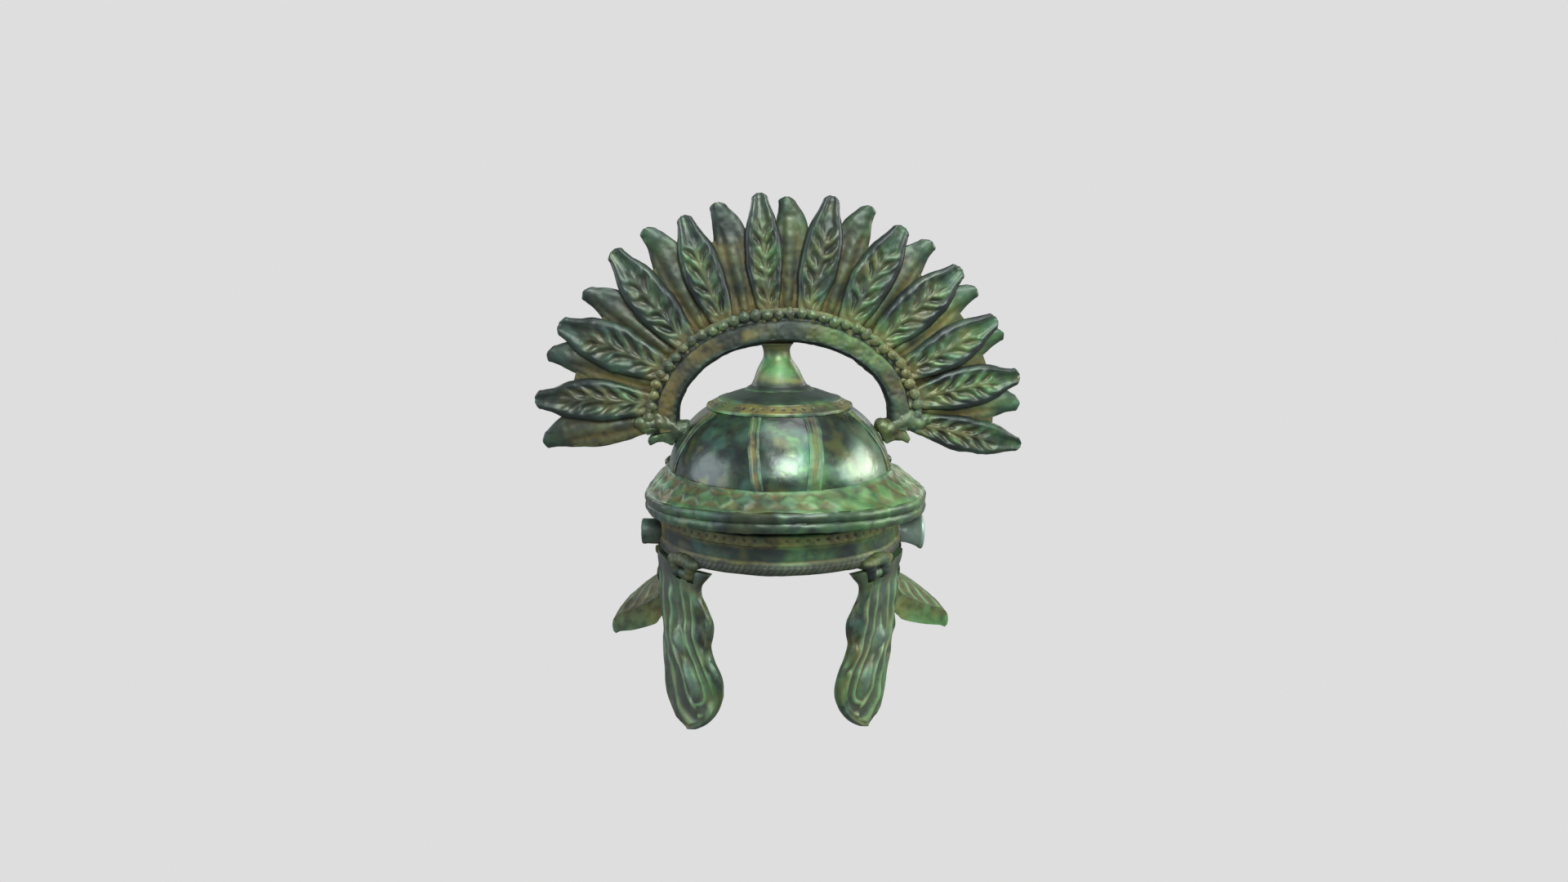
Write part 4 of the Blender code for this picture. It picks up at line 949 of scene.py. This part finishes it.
class HELMET_OT_feet(HelmetOperator):
    """Lumpy brackets that carry the arch's ends on the bowl"""

    bl_idname = "helmet.feet"
    bl_label = "Crest feet"

    def execute(self, context):
        # The lumps left where the arch was cast onto its feet: along X from the arch's end, height, radius
        lumps = (
            (-0.004, 0.001, 0.0075), (0.003, -0.002, 0.0095), (0.008, 0.003, 0.0085),
            (0.014, 0.005, 0.0085), (0.021, 0.006, 0.0080), (0.027, 0.005, 0.0080),
            (0.032, 0.004, 0.0085), (0.039, 0.007, 0.0070), (0.014, 0.011, 0.0070),
            (0.022, 0.012, 0.0070), (0.029, 0.011, 0.0065),
        )
        for number, (side, sign) in enumerate(SIDES.items()):
            node = "crest_foot_" + side
            end = arch_point(ARCH_END_ANGLE if sign > 0 else 180 - ARCH_END_ANGLE, 0.0, 0.0)
            balls = [(end + [sign * along, y, rise], size)
                     for along, rise, size in lumps for y in (-0.004, 0.004)]
            mesh = softened(node, 0.0010, 26, 0.0008, 50 + number, balls)
            stained(mesh, 50 + number, 0.4, 0.7, 0.022)
            place(node + "_cast", mesh, green_bronze(), "green_bronze", "helmet", node)
        return {"FINISHED"}


def peak_ring():
    """The peak: its sloping top with the wreath, the two rolls of its edge and its hollow underside."""
    sizes = relief()
    azimuth = np.linspace(-PEAK_END_AZIMUTH, PEAK_END_AZIMUTH, 430)[:, None]
    swell = side_swell(azimuth)
    top = PEAK_TOP_Z + PEAK_SIDE_RISE * swell
    foot = PEAK_TOP_Z - PEAK_SLOPE_DROP - PEAK_SIDE_DIP * swell
    slope = np.linspace(0, 1, 34)
    seat = BOWL_RADIUS * np.sqrt(1 - ((top - DOME_BASE_Z) / DOME_HEIGHT) ** 2) - BOWL_RADIUS + 0.0004
    roll = np.radians(np.linspace(78, -78, 12))
    roll_out = PEAK_REACH * (0.905 + 0.095 * np.cos(roll))
    rolls_z = [foot - PEAK_EDGE_HEIGHT * (middle - 0.255 * np.sin(roll)) for middle in (0.27, 0.76)]
    below_out, below_down = np.array([(0.86, 0.99), (0.77, 0.94), (0.68, 0.84), (0.63, 0.60), (0.60, 0.32)]).T
    inner_z = DOME_BASE_Z - 0.008
    out = side_by_side(azimuth, seat + (0.925 * PEAK_REACH - seat) * slope, roll_out, roll_out,
                       PEAK_REACH * below_out, [skirt_radius(inner_z) - BOWL_RADIUS + SEAT_GAP])
    height = side_by_side(azimuth, top + (foot - top) * (0.92 * slope + 0.08 * slope**2), *rolls_z,
                          foot - PEAK_EDGE_HEIGHT * below_down, [inner_z])
    grid = ring_point(BOWL_RADIUS + out, azimuth, height)
    grid[..., 0] += out / PEAK_REACH * PEAK_SHIFT
    column = np.arange(out.shape[1])
    on_top = column < len(slope)
    across = np.clip(out / PEAK_REACH, 0, 1)
    travel = np.radians(azimuth) * (BOWL_RADIUS + 0.5 * PEAK_REACH) / sizes.wreath_pitch
    zig = np.abs((travel + 0.10 * noise(grid, 0.03, 12)) % 1 * 2 - 1)
    border = most(bump(across, 0.92, 0.06), 0.7 * bump(across, 0.04, 0.07))
    worn = ((1 - 0.9 * bump(azimuth, 27.0, 12.0)) * (0.70 + 0.45 * noise(grid, 0.018, 13))).clip(0, 1)
    # How far a point lies inside a lozenge, with ragged edges
    depth_in = np.abs(0.66 * zig - 0.33) - np.abs(across - 0.47) + 0.09 * noise(grid, 0.009, 16)
    lines = bump(depth_in, 0.0, 0.10)
    pocket = on_top * fade(depth_in, -0.07, 0.08) * ramp(across, 0.06, 0.22) * fade(across, 0.72, 0.86)
    pocket = pocket * worn
    leaf = on_top * ramp(depth_in, -0.04, 0.20) * worn
    height = sizes.wreath_height * (on_top * worn * (0.35 * lines + 0.5 * border) + leaf) - 0.0011 * pocket
    height = height + 0.0012 * on_top * noise(grid, 0.011, 14) + 0.0007 * ~on_top * noise(grid, 0.009, 35)
    grid = emboss(grid, height + 2.4 * wave(grid, 30, 0.022))
    groove = bump(column, len(slope) + len(roll) - 0.5, 1.6)
    on_edge = ramp(column, len(slope) - 1, len(slope) + 2)
    # Painted highlights: glints along the wreath's lines, and a top painted paler in patches, most at the
    # front
    painted_glint = on_top * lines * worn * patches(grid, 0.008, 19, 0.0, 0.8)
    light = on_top * (0.04 + 0.35 * patches(grid, 0.013, 27, 0.0, 0.7) + 0.10 * bump(azimuth, 0, 30))
    stains = patches(grid, 0.015, 31, -0.5, 0.5)
    dark = most(0.90 * groove, on_edge * (0.35 + 0.40 * stains),
                on_top * (0.45 * pocket + 0.25 * (1 - stains)))
    mesh = skin("peak_ring", grid, ochre=0.85 * pocket, dark=dark,
                pale=most(light * (1 - 0.7 * pocket), 0.60 * painted_glint))
    place("peak_ring", mesh, green_bronze(), "green_bronze", "helmet", "peak")


class HELMET_OT_peak(HelmetOperator):
    """Sloping ring peak with a wreath of lozenges on top and a double rolled edge, and its two rivets"""

    bl_idname = "helmet.peak"
    bl_label = "Peak and rivets"

    def execute(self, context):
        peak_ring()
        for number, side in enumerate(SIDES):
            node = "peak_knob_" + side
            mesh = softened(node, 0.0006, 3, 0.0004, 60 + number)
            place(node + "_rivet", mesh, dark_bronze(), "dark_bronze", "helmet", node)
        return {"FINISHED"}


class HELMET_OT_band(HelmetOperator):
    """Brow band with a strip of punched dots above a hollow wall and a corded roll"""

    bl_idname = "helmet.band"
    bl_label = "Brow band"

    def execute(self, context):
        sizes = relief()
        inner = SKIRT_RADIUS + SEAT_GAP
        outer = inner + BAND_THICKNESS
        top, tall = BAND_HIGH.z, BAND_HIGH.z - BAND_LOW.z
        levels = (0.0, 0.03, 0.24, 0.30, 0.40, 0.60, 0.70, 0.74, 0.80, 0.87, 0.94, 0.985, 1.0)
        bulges = (-0.5, 0.0, 0.0, -0.9, -1.3, -1.2, -0.8, 0.0, 1.3, 1.7, 1.5, 0.6, -0.4)
        face = np.linspace(0, 1, 62)
        wall = outer + 0.001 * through(levels, bulges, face)
        radii = np.r_[wall, np.linspace(outer - 0.001, inner, 4), [inner] * 4]
        level = np.r_[face, [1.0] * 4, np.linspace(0.8, 0, 4)]
        azimuth = np.linspace(-BAND_END_AZIMUTH, BAND_END_AZIMUTH, 420)[:, None]
        grid = ring_point(radii, azimuth, top - level * tall)
        on_wall = np.arange(len(radii)) < len(face)
        arc = np.radians(azimuth) * outer * (HEAD_STRETCH + 1) / 2
        dots = on_wall * punched_dots(arc / sizes.dot_pitch, (level - 0.145) * tall, 0.55, 15)
        lines = on_wall * (bump(level, 0.045, 0.022) + bump(level, 0.26, 0.022))
        strands = 0.5 + 0.5 * np.cos(2 * math.pi * (arc / 0.0056 + (level - 0.86) * tall / 0.0075))
        cord = on_wall * ramp(level, 0.77, 0.81) * fade(level, 0.94, 0.98) * strands
        # Upright folds at both ends, like a sleeve drawn up against the boss
        fold = on_wall * ramp(level, 0.02, 0.08) * fade(level, 0.78, 0.86)
        folds = fold * sum(bump(np.abs(azimuth), middle, 1.0) for middle in (72.5, 76.0, 80.0))
        height = 0.0005 * lines - sizes.dot_depth * dots + 0.0004 * cord + 0.0022 * folds
        grid = emboss(grid, height + 1.6 * wave(grid, 33, 0.020) * on_wall)
        strip = on_wall * ramp(level, 0.02, 0.06) * fade(level, 0.24, 0.30)
        rim = on_wall * ramp(level, 0.70, 0.78)
        ochre = most(np.clip(0.50 * strip * (1 - dots) + 0.45 * rim * (1 - 0.5 * strands), 0, 1),
                     0.8 * fold * ramp(np.abs(azimuth), 69.0, 73.0))
        hollow = on_wall * ramp(level, 0.26, 0.40) * fade(level, 0.62, 0.76)
        dark = most(dots, (0.65 + 0.60 * noise(grid, 0.016, 34)) * hollow, rim * (0.65 + 0.30 * strands),
                    0.15 * strip)
        mesh = skin("brow_band_cast", grid, ochre=ochre, dark=dark.clip(0, 1))
        place("brow_band_cast", mesh, brown_bronze(), "dark_bronze", "helmet", "brow_band")
        return {"FINISHED"}


class HELMET_OT_bosses(HelmetOperator):
    """Flared spool bosses on both sides, the right one larger"""

    bl_idname = "helmet.bosses"
    bl_label = "Side bosses"

    def execute(self, context):
        # The left boss is nearly a barrel, the right one flares
        places = (0.0, 0.08, 0.20, 0.34, 0.50, 0.66, 0.80, 0.92, 0.97, 1.0)
        flare = 1.10 * np.array([0.86, 0.74, 0.64, 0.62, 0.66, 0.76, 0.88, 1.00, 0.98, 0.88])
        barrel = (1.08, 1.07, 1.05, 1.03, 1.01, 1.00, 1.00, 1.00, 0.97, 0.86)
        looks = {
            "left": {"outline": barrel, "sink": 0.0, "dark": 0.45, "bloom": 0.20},
            # The right boss is all in this blue-grey: partly its tint, partly painted light
            "right": {"outline": flare, "sink": 0.003, "dark": 0.0, "bloom": 1.0},
        }
        share = np.r_[np.linspace(0, 0.90, 44), np.linspace(0.92, 1.0, 10)]
        around = np.radians(np.linspace(0, 360, 72, endpoint=False))
        closing = np.array([0.8, 0.5, 0.2, 0.02])
        for number, (side, sign) in enumerate(SIDES.items()):
            look, node = looks[side], "side_boss_" + side
            low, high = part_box(node)
            centre = (low + high) / 2
            length, tip = high.x - low.x, low.x if sign < 0 else high.x
            radii = (high.z - low.z) / 2 * through(places, look["outline"], share)
            radius = np.r_[[0.02 * radii[0]], radii, closing * radii[-1]][:, None]
            depth = np.r_[[length], length * (1 - share), 0.0014 * (1 - closing)][:, None]
            grid = np.stack(np.broadcast_arrays(
                tip - sign * depth, centre.y + radius * np.cos(around),
                centre.z - look["sink"] + radius * np.sin(around),
            ), axis=-1)
            grid = emboss(grid, 1.4 * wave(grid, 36 + number, 0.012))
            inward = fade(sign * grid[..., 0], sign * tip - 0.9 * length, sign * tip - 0.5 * length)
            end_face = np.arange(len(grid))[:, None] >= len(share)
            # Darker towards the bowl; the end face gets painted shade, as it faces the side lamps
            dark = (look["dark"] + 0.5 * inward + 0.45 * end_face).clip(0, 1)
            mesh = skin(node, grid, ochre=0.5 * inward, dark=dark, bloom=look["bloom"])
            place(node + "_spool", mesh, green_bronze(), "dark_bronze", "helmet", node)
        return {"FINISHED"}


def neck_guard():
    """The neck guard: its ribbed upper side, the thick lip and the underside."""
    end = 360 - NECK_START_AZIMUTH
    azimuth = np.linspace(NECK_START_AZIMUTH, end, 300)[:, None]
    inner = SKIRT_RADIUS + SEAT_GAP
    outer = 1 / np.hypot(np.sin(np.radians(azimuth)) / NECK_HALF_WIDTH,
                         np.cos(np.radians(azimuth)) * HEAD_STRETCH / NECK_LENGTH)
    edge = NECK_REAR_EDGE_Z + (NECK_SIDE_EDGE_Z - NECK_REAR_EDGE_Z) * side_swell(azimuth) ** 2
    near_end = fade(np.minimum(azimuth - NECK_START_AZIMUTH, end - azimuth), 7.0, 14.5)

    def level(at):
        """Height of the guard's upper side; both its ends sag between the root and the lip."""
        fall = through((0.0, 0.30, 0.65, 0.97), (0.0, 0.36, 0.72, 0.99), at)
        sag = near_end * ramp(at, 0.0, 0.25) * np.maximum(0.018 - 0.021 * at, 0)
        return NECK_ROOT_Z - (NECK_ROOT_Z - edge) * fall - sag

    top, under = np.linspace(0, 0.965, 52), np.linspace(0.94, 0.0, 30)
    turn = np.radians(np.linspace(75, -60, 16))
    lip_z = edge - NECK_LIP_HEIGHT * (0.46 - 0.46 * np.sin(turn))
    lip_share = fade(under, 0.90, 0.955)
    plate = NECK_PLATE + (0.030 - 0.013 * under - NECK_PLATE) * near_end
    foot_z = edge - NECK_LIP_HEIGHT
    under_z = np.maximum(foot_z, (level(under) - plate) * lip_share + foot_z * (1 - lip_share))
    out = side_by_side(azimuth, top, 0.962 + 0.038 * np.cos(turn), under)
    height = side_by_side(azimuth, level(top), lip_z, under_z)
    grid = ring_point(inner + (outer - inner) * out, azimuth, height)
    grid[..., 0] += out * NECK_SHIFT
    # The upper side reaches over the lip's first four rows
    on_top = np.arange(out.shape[1]) < len(top) + 4
    ribs = sum(bump(out, middle, 0.040) for middle in (0.28, 0.47, 0.66, 0.84))
    tall = relief().neck_rib_height * ribs * on_top * ramp(out, 0.05, 0.2)
    grid = emboss(grid, tall + 1.6 * wave(grid, 44, 0.020))
    valley = on_top * (1 - ribs.clip(0, 1))
    ochre = 0.60 * valley + 0.5 * fade(out, 0.02, 0.15) + 0.8 * ~on_top * fade(out, 0.10, 0.45)
    pale = most(0.20 * ~on_top * patches(grid, 0.016, 32, -0.3, 0.6),
                0.55 * on_top * ribs.clip(0, 1) * patches(grid, 0.020, 37, -0.8, 0.3))
    mesh = skin("neck_guard", grid, ochre=ochre.clip(0, 1), dark=0.18 * on_top + 0.35 * valley, pale=pale)
    place("neck_guard_plate", mesh, brown_bronze(), "green_bronze", "helmet", "neck_guard")


class HELMET_OT_neck(HelmetOperator):
    """Flared neck guard with concentric ribs and a thick lip, and the flanges behind the ears"""

    bl_idname = "helmet.neck"
    bl_label = "Neck guard and ear flanges"

    def execute(self, context):
        for number, side in enumerate(SIDES):
            node = "ear_guard_" + side
            mesh = stained(softened(node, 0.0008, 4, 0.0008, 70 + number), 70 + number, 0.7, 0.9)
            # The flange's outer edge hollows between the boss and the neck guard
            points = read(mesh.vertices, "co", 3)
            past = np.abs(points[:, 0]) - SKIRT_RADIUS
            points[:, 0] -= np.sign(points[:, 0]) * past.clip(0) * 0.55 * bump(points[:, 2], -0.018, 0.014)
            mesh.vertices.foreach_set("co", points.astype(np.float32).ravel())
            place(node + "_flange", mesh, brown_bronze(), "brown_bronze", "helmet", node)
        neck_guard()
        return {"FINISHED"}


def hinge_frame(side, sign):
    """The middle of a cheek hinge, and unit vectors along its axis and outwards."""
    angle = math.radians(HINGE_AZIMUTHS[side])
    middle = Vector(ring_point(SKIRT_RADIUS + CHEEK_STAND_OFF, sign * HINGE_AZIMUTHS[side], HINGE_AXIS_Z))
    along = Vector((sign * math.cos(angle), HEAD_STRETCH * math.sin(angle), 0)).normalized()
    return middle, along, Vector((sign * along.y, -sign * along.x, 0))


def closed_mesh(shape):
    """A bmesh as a plain mesh that faces outwards."""
    mesh = bpy.data.meshes.new("hinge_shape")
    shape.to_mesh(mesh)
    shape.free()
    return face_outwards(mesh)


def oriented_block(middle, along, outward, size, top, foot):
    """A box beside the hinge: size is along and across, top and foot are heights."""
    shape = bmesh.new()
    bmesh.ops.create_cube(shape, size=1.0)
    for vertex in shape.verts:
        x, y, z = vertex.co
        vertex.co = middle + along * (x * size[0]) + outward * (y * size[1])
        vertex.co.z = top if z > 0 else foot
    return closed_mesh(shape)


def oriented_barrel(middle, along, length, radius):
    shape = bmesh.new()
    bmesh.ops.create_cone(shape, cap_ends=True, segments=40, radius1=radius, radius2=radius, depth=length)
    turn = along.to_track_quat("Z", "Y").to_matrix().to_4x4()
    bmesh.ops.transform(shape, matrix=turn, verts=shape.verts)
    bmesh.ops.translate(shape, vec=middle, verts=shape.verts)
    return closed_mesh(shape)


def with_knuckle(mesh, side, sign):
    """A cheek guard notched for the hinge's lug, with its bored middle knuckle in the notch."""
    middle, along, outward = hinge_frame(side, sign)
    notch_foot = HINGE_AXIS_Z - NOTCH_DROP
    web = oriented_block(middle, along, outward, KNUCKLE_WEB, HINGE_AXIS_Z, notch_foot - 0.003)
    knuckle = joined(oriented_barrel(middle, along, KNUCKLE_LENGTH, KNUCKLE_RADIUS), "UNION", web)
    bore = oriented_barrel(middle, along, PIN_BORE_LENGTH, PIN_BORE_RADIUS)
    knuckle = stained(joined(knuckle, "DIFFERENCE", bore), 88, 0.5, 2.0, 0.008)
    notch = oriented_block(middle, along, outward, NOTCH_SIZE, 0.01, notch_foot)
    return joined(joined(mesh, "DIFFERENCE", notch), "UNION", knuckle)


def cheek_guard(side, sign):
    """One cheek guard, with the relief and the stains of its outer face."""
    sizes = relief()
    share = np.r_[np.linspace(CHEEK_DROP[0], 0.95, 190), np.linspace(0.955, 1.0, 16)][:, None]
    closing = 0.8 * ramp(share, 0.985, 1.03)
    front, rear = (through(CHEEK_DROP, edge, share) for edge in (CHEEK_FRONT, CHEEK_REAR))
    front, rear = (edge + (0.042 - edge) * closing for edge in (front, rear))
    face = np.linspace(0, 1, 84)
    t = np.r_[face, [1.003, 0.985, 0.75, 0.5, 0.25, 0.015]]
    lift = CHEEK_WALL * np.repeat((0.5, 0.0, -0.5), (len(face), 1, 5))
    on_face = np.arange(len(t)) < len(face)
    across, drop = front + (rear - front) * t, CHEEK_LENGTH * share
    radius = SKIRT_RADIUS + CHEEK_STAND_OFF
    lean = math.tan(math.radians(CHEEK_LEANS[side])) * (HINGE_AXIS_Z + drop)
    grid = ring_point(radius + lift - lean, sign * (HINGE_AZIMUTHS[side] + across * CHEEK_SPAN), -drop)

    scale = math.radians(CHEEK_SPAN) * radius
    x, from_front, from_rear = across * scale, (across - front) * scale, (rear - across) * scale
    # Ridges run down both sides of a line through the boss and the long drop and close below them
    line = through((0.0, 0.030, 0.079, 0.114, 0.161), (0.016, 0.013, 0.0095, -0.0085, -0.0140), drop)
    shape_of_boss = np.hypot((x - line) / 0.0125, (drop - 0.077) / 0.0150)
    shape_of_drop = np.hypot((x - line) / 0.0100, (drop - 0.112) / 0.0230)
    boss, long_drop = fade(shape_of_boss, 0.10, 1.05), fade(shape_of_drop, 0.10, 1.05)
    aside = np.hypot(x - line, np.maximum(drop - 0.121, 0)) - 0.0060 * bump(shape_of_boss, 0.0, 1.7)
    aside = aside - 0.0045 * bump(shape_of_drop, 0.0, 1.5)
    aside = aside + 0.0016 * noise(grid, 0.026, 17) + 0.0007 * noise(grid, 0.010, 24)
    limit = np.where(x < line, 0.0275, 0.0520)
    field = fade(aside, limit - 0.003, limit + 0.001) * ramp(from_front, 0.010, 0.015)
    panel = field * fade(boss, 0.02, 0.30) * fade(long_drop, 0.02, 0.30) * ramp(drop, 0.014, 0.030)
    # They lie closer in front of the line and spread out behind it
    spread = np.where(x < line, 1.25 * aside, aside / (1 + 7 * aside.clip(0)))
    ridge = (0.5 + 0.5 * np.cos(2 * math.pi * (spread / sizes.cheek_ridge_pitch + 0.35))) ** 2.0
    strength = (0.80 + 0.50 * noise(grid, 0.022, 18)).clip(0, 1)
    dent = bump(np.hypot(from_front - 0.0100, (drop - 0.073) / 1.5), 0.0, 0.0050)
    dent = dent + 0.8 * bump(np.hypot(from_front - 0.0110, drop - 0.097), 0.0, 0.0042)
    bead = bump(from_front, 0.0040, 0.0036) * ramp(drop, 0.048, 0.060)
    edge_roll = bump(np.minimum(from_front, from_rear), 0.0, 0.0030) * ramp(share, 0.02, 0.06)
    height = sizes.cheek_ridge_height * panel * (ridge * strength - 0.55) + 0.0068 * boss + 0.0052 * long_drop
    height = height - 0.0030 * dent + 0.0024 * bead + 0.0018 * noise(grid, 0.014, 20) - 0.0022 * edge_roll
    grid = emboss(grid, on_face * height + 1.8 * wave(grid, 50 + sign, 0.020))
    furrow = panel * fade(ridge, 0.0, 0.90) * strength
    top = fade(drop, 0.012, 0.034)
    shade = most(0.68 * furrow, 0.85 * dent, 0.70 * top + 0.45 * boss + 0.35 * long_drop,
                 0.60 * bump(from_front, 0.0, 0.0075))
    earthy = most(0.55 * patches(grid, 0.024, 23, 0.1, 0.8), 0.15 * furrow,
                  0.70 * bump(from_rear, 0.0, 0.0065) * ramp(drop, 0.090, 0.125))
    blotch = patches(grid, 0.017, 26, 0.0, 0.7) * np.maximum(1 - field, 0.35)
    mesh = skin("cheek_" + side, grid, dark=on_face * shade.clip(0, 1), ochre=on_face * earthy,
                bloom=on_face * (0.40 * boss + 0.40 * long_drop + 0.22 * furrow).clip(0, 1),
                pale=on_face * most(0.40 * blotch, 0.50 * panel * ramp(ridge, 0.3, 1.0)))
    mesh = with_knuckle(mesh, side, sign)
    node = "cheek_guard_" + side
    place(node + "_cast", mesh, green_bronze(), "green_bronze", "cheek_" + side, node)


class HELMET_OT_cheeks(HelmetOperator):
    """Hinged cheek guards with nested ridges, a raised boss and a long drop"""

    bl_idname = "helmet.cheeks"
    bl_label = "Cheek guards"

    def execute(self, context):
        for side, sign in SIDES.items():
            cheek_guard(side, sign)
        return {"FINISHED"}


class HELMET_OT_hinges(HelmetOperator):
    """Fixed halves of the cheek hinges and their pins"""

    bl_idname = "helmet.hinges"
    bl_label = "Hinges"

    def execute(self, context):
        # The lump of metal that closes over the knuckle: along the hinge, height, radius
        lumps = ((0.0098, 0.0010, 0.0056), (0.0112, 0.0065, 0.0062), (0.0170, 0.0112, 0.0052),
                 (0.0118, 0.0112, 0.0066), (0.0058, 0.0126, 0.0066), (0.0, 0.0130, 0.0068))
        for number, (side, sign) in enumerate(SIDES.items()):
            middle, along, outward = hinge_frame(side, sign)
            balls = [(middle + end * way * along + 0.0024 * outward + Vector((0, 0, rise)), radius)
                     for end, rise, radius in lumps for way in (-1, 1)]
            node = "hinge_lug_" + side
            lug = softened(node, 0.0007, 22, 0.0006, 80 + number, balls)
            stained(lug, 80 + number, 0.8, 1.2, 0.022)
            place(node + "_cast", lug, brown_bronze(), "dark_bronze", "helmet", node)
            node = "hinge_pin_" + side
            pin = softened(node, 0.0004, 1, 0.0, 84 + number)
            place(node + "_rod", pin, brown_bronze(), "brown_bronze", "helmet", node)
        return {"FINISHED"}


def backdrop(stage):
    """A round floor that turns up into a wall on every side, evenly lit, seen but casting no light."""
    bend = np.radians(np.linspace(8, 90, 12))
    radius = np.r_[np.linspace(0.002, 2.0, 8), 2.0 + 2.0 * np.sin(bend), [4.0, 3.6, 2.4, 0.002]][:, None]
    rise = np.r_[np.zeros(8), 2.0 - 2.0 * np.cos(bend), [3.0, 4.6, 6.0, 6.6]][:, None]
    around = np.radians(np.linspace(0, 360, 64, endpoint=False))
    grid = np.stack(np.broadcast_arrays(
        radius * np.cos(around), radius * np.sin(around), stage.floor_level + rise
    ), axis=-1)
    sweep = bpy.data.objects.new("backdrop_sweep", skin("backdrop_sweep", grid))
    bpy.context.scene.collection.objects.link(sweep)
    material = bpy.data.materials.new("evenly_lit_paper")
    material.use_nodes = True
    tree = material.node_tree
    tree.nodes.remove(tree.nodes["Principled BSDF"])
    paper = add_node(tree, "ShaderNodeEmission", {"Color": (*stage.backdrop, 1.0), "Strength": 1.0})
    tree.links.new(paper, tree.nodes["Material Output"].inputs["Surface"])
    sweep.data.materials.append(material)
    for ray in ("visible_diffuse", "visible_glossy", "visible_transmission", "visible_shadow"):
        setattr(sweep, ray, False)


def lights(scene):
    """Soft lamps on all sides, as shares of the key light's power, and a faint even fill."""
    key = scene.helmet_stage.key_power
    # Name, place, width and height, power, tint
    lamps = (
        ("key", (0.20, -1.42, 1.02), (0.75, 0.90), 3.6 * key, "#f2fff6"),
        ("right", (1.68, -0.18, 0.50), (1.70, 0.80), 2.9 * key, "#fffdf2"),
        ("left", (-1.62, -0.30, 0.42), (1.30, 1.10), 1.6 * key, "#ecf6ff"),
        ("back_left", (-1.12, 1.24, 0.72), (0.60, 0.90), 0.5 * key, "#ffffff"),
        ("back_right", (1.30, 1.50, 0.90), (0.60, 0.60), 0.5 * key, "#ffffff"),
        ("top", (0.25, -0.30, 1.90), (1.20, 1.20), 1.9 * key, "#ffffff"),
    )
    for name, location, (width, height), power, tint in lamps:
        data = bpy.data.lights.new(name, "AREA")
        data.shape = "RECTANGLE"
        data.size = width
        data.size_y = height
        data.energy = power
        data.color = linear(tint)
        lamp = bpy.data.objects.new(name, data)
        lamp.location = location
        lamp.rotation_euler = (VIEW_TARGET - lamp.location).to_track_quat("-Z", "Y").to_euler()
        lamp.visible_camera = False
        scene.collection.objects.link(lamp)
    world = bpy.data.worlds.new("studio_fill")
    world.use_nodes = True
    fill = world.node_tree.nodes["Background"]
    fill.inputs["Color"].default_value = (*linear("#dfe6e4"), 1.0)
    fill.inputs["Strength"].default_value = 0.38
    scene.world = world


def camera(scene):
    """The camera at the photo's angle, with a lens that gives the photo's height of view."""
    azimuth, elevation = math.radians(VIEW_AZIMUTH), math.radians(VIEW_ELEVATION)
    forward = Vector((math.sin(azimuth) * math.cos(elevation), math.cos(azimuth) * math.cos(elevation),
                      -math.sin(elevation)))
    data = bpy.data.cameras.new("photo_view")
    data.sensor_width = 36.0
    data.lens = 0.5 * data.sensor_width * 9 / 16 / math.tan(math.radians(VIEW_HEIGHT_ANGLE / 2))
    eye = bpy.data.objects.new("photo_view", data)
    eye.location = VIEW_TARGET - forward * VIEW_DISTANCE
    eye.rotation_euler = forward.to_track_quat("-Z", "Y").to_euler()
    scene.collection.objects.link(eye)
    scene.camera = eye


class HELMET_OT_stage(HelmetOperator):
    """Pale floor and backdrop, soft lights, and the camera at the photo's angle"""

    bl_idname = "helmet.stage"
    bl_label = "Stage"

    def execute(self, context):
        backdrop(context.scene.helmet_stage)
        lights(context.scene)
        camera(context.scene)
        context.scene.view_settings.view_transform = "Standard"
        return {"FINISHED"}


STEPS = (
    HELMET_OT_bowl, HELMET_OT_straps, HELMET_OT_crown, HELMET_OT_arch, HELMET_OT_feathers, HELMET_OT_feet,
    HELMET_OT_peak, HELMET_OT_band, HELMET_OT_bosses, HELMET_OT_neck, HELMET_OT_cheeks, HELMET_OT_hinges,
    HELMET_OT_stage,
)


class HELMET_PT_panel(bpy.types.Panel):
    """Lists the helmet's steps and sizes"""

    bl_idname = "HELMET_PT_panel"
    bl_label = "Centurion Helmet"
    bl_space_type = "VIEW_3D"
    bl_region_type = "UI"
    bl_category = "Helmet"

    def draw(self, context):
        for step in STEPS:
            self.layout.operator(step.bl_idname)
        for group in (context.scene.helmet_relief, context.scene.helmet_colours, context.scene.helmet_stage):
            box = self.layout.box()
            for key in group.__annotations__:
                box.prop(group, key)


GROUPS = {"helmet_relief": HelmetRelief, "helmet_colours": HelmetColours, "helmet_stage": HelmetStage}


def register():
    for kind in (*GROUPS.values(), *STEPS, HELMET_PT_panel):
        bpy.utils.register_class(kind)
    for key, kind in GROUPS.items():
        setattr(bpy.types.Scene, key, bpy.props.PointerProperty(type=kind))


def unregister():
    for key in GROUPS:
        delattr(bpy.types.Scene, key)
    for kind in reversed((*GROUPS.values(), *STEPS, HELMET_PT_panel)):
        bpy.utils.unregister_class(kind)


def main():
    register()
    for step in STEPS:
        group, name = step.bl_idname.split(".")
        getattr(getattr(bpy.ops, group), name)()


if __name__ == "__main__":
    main()
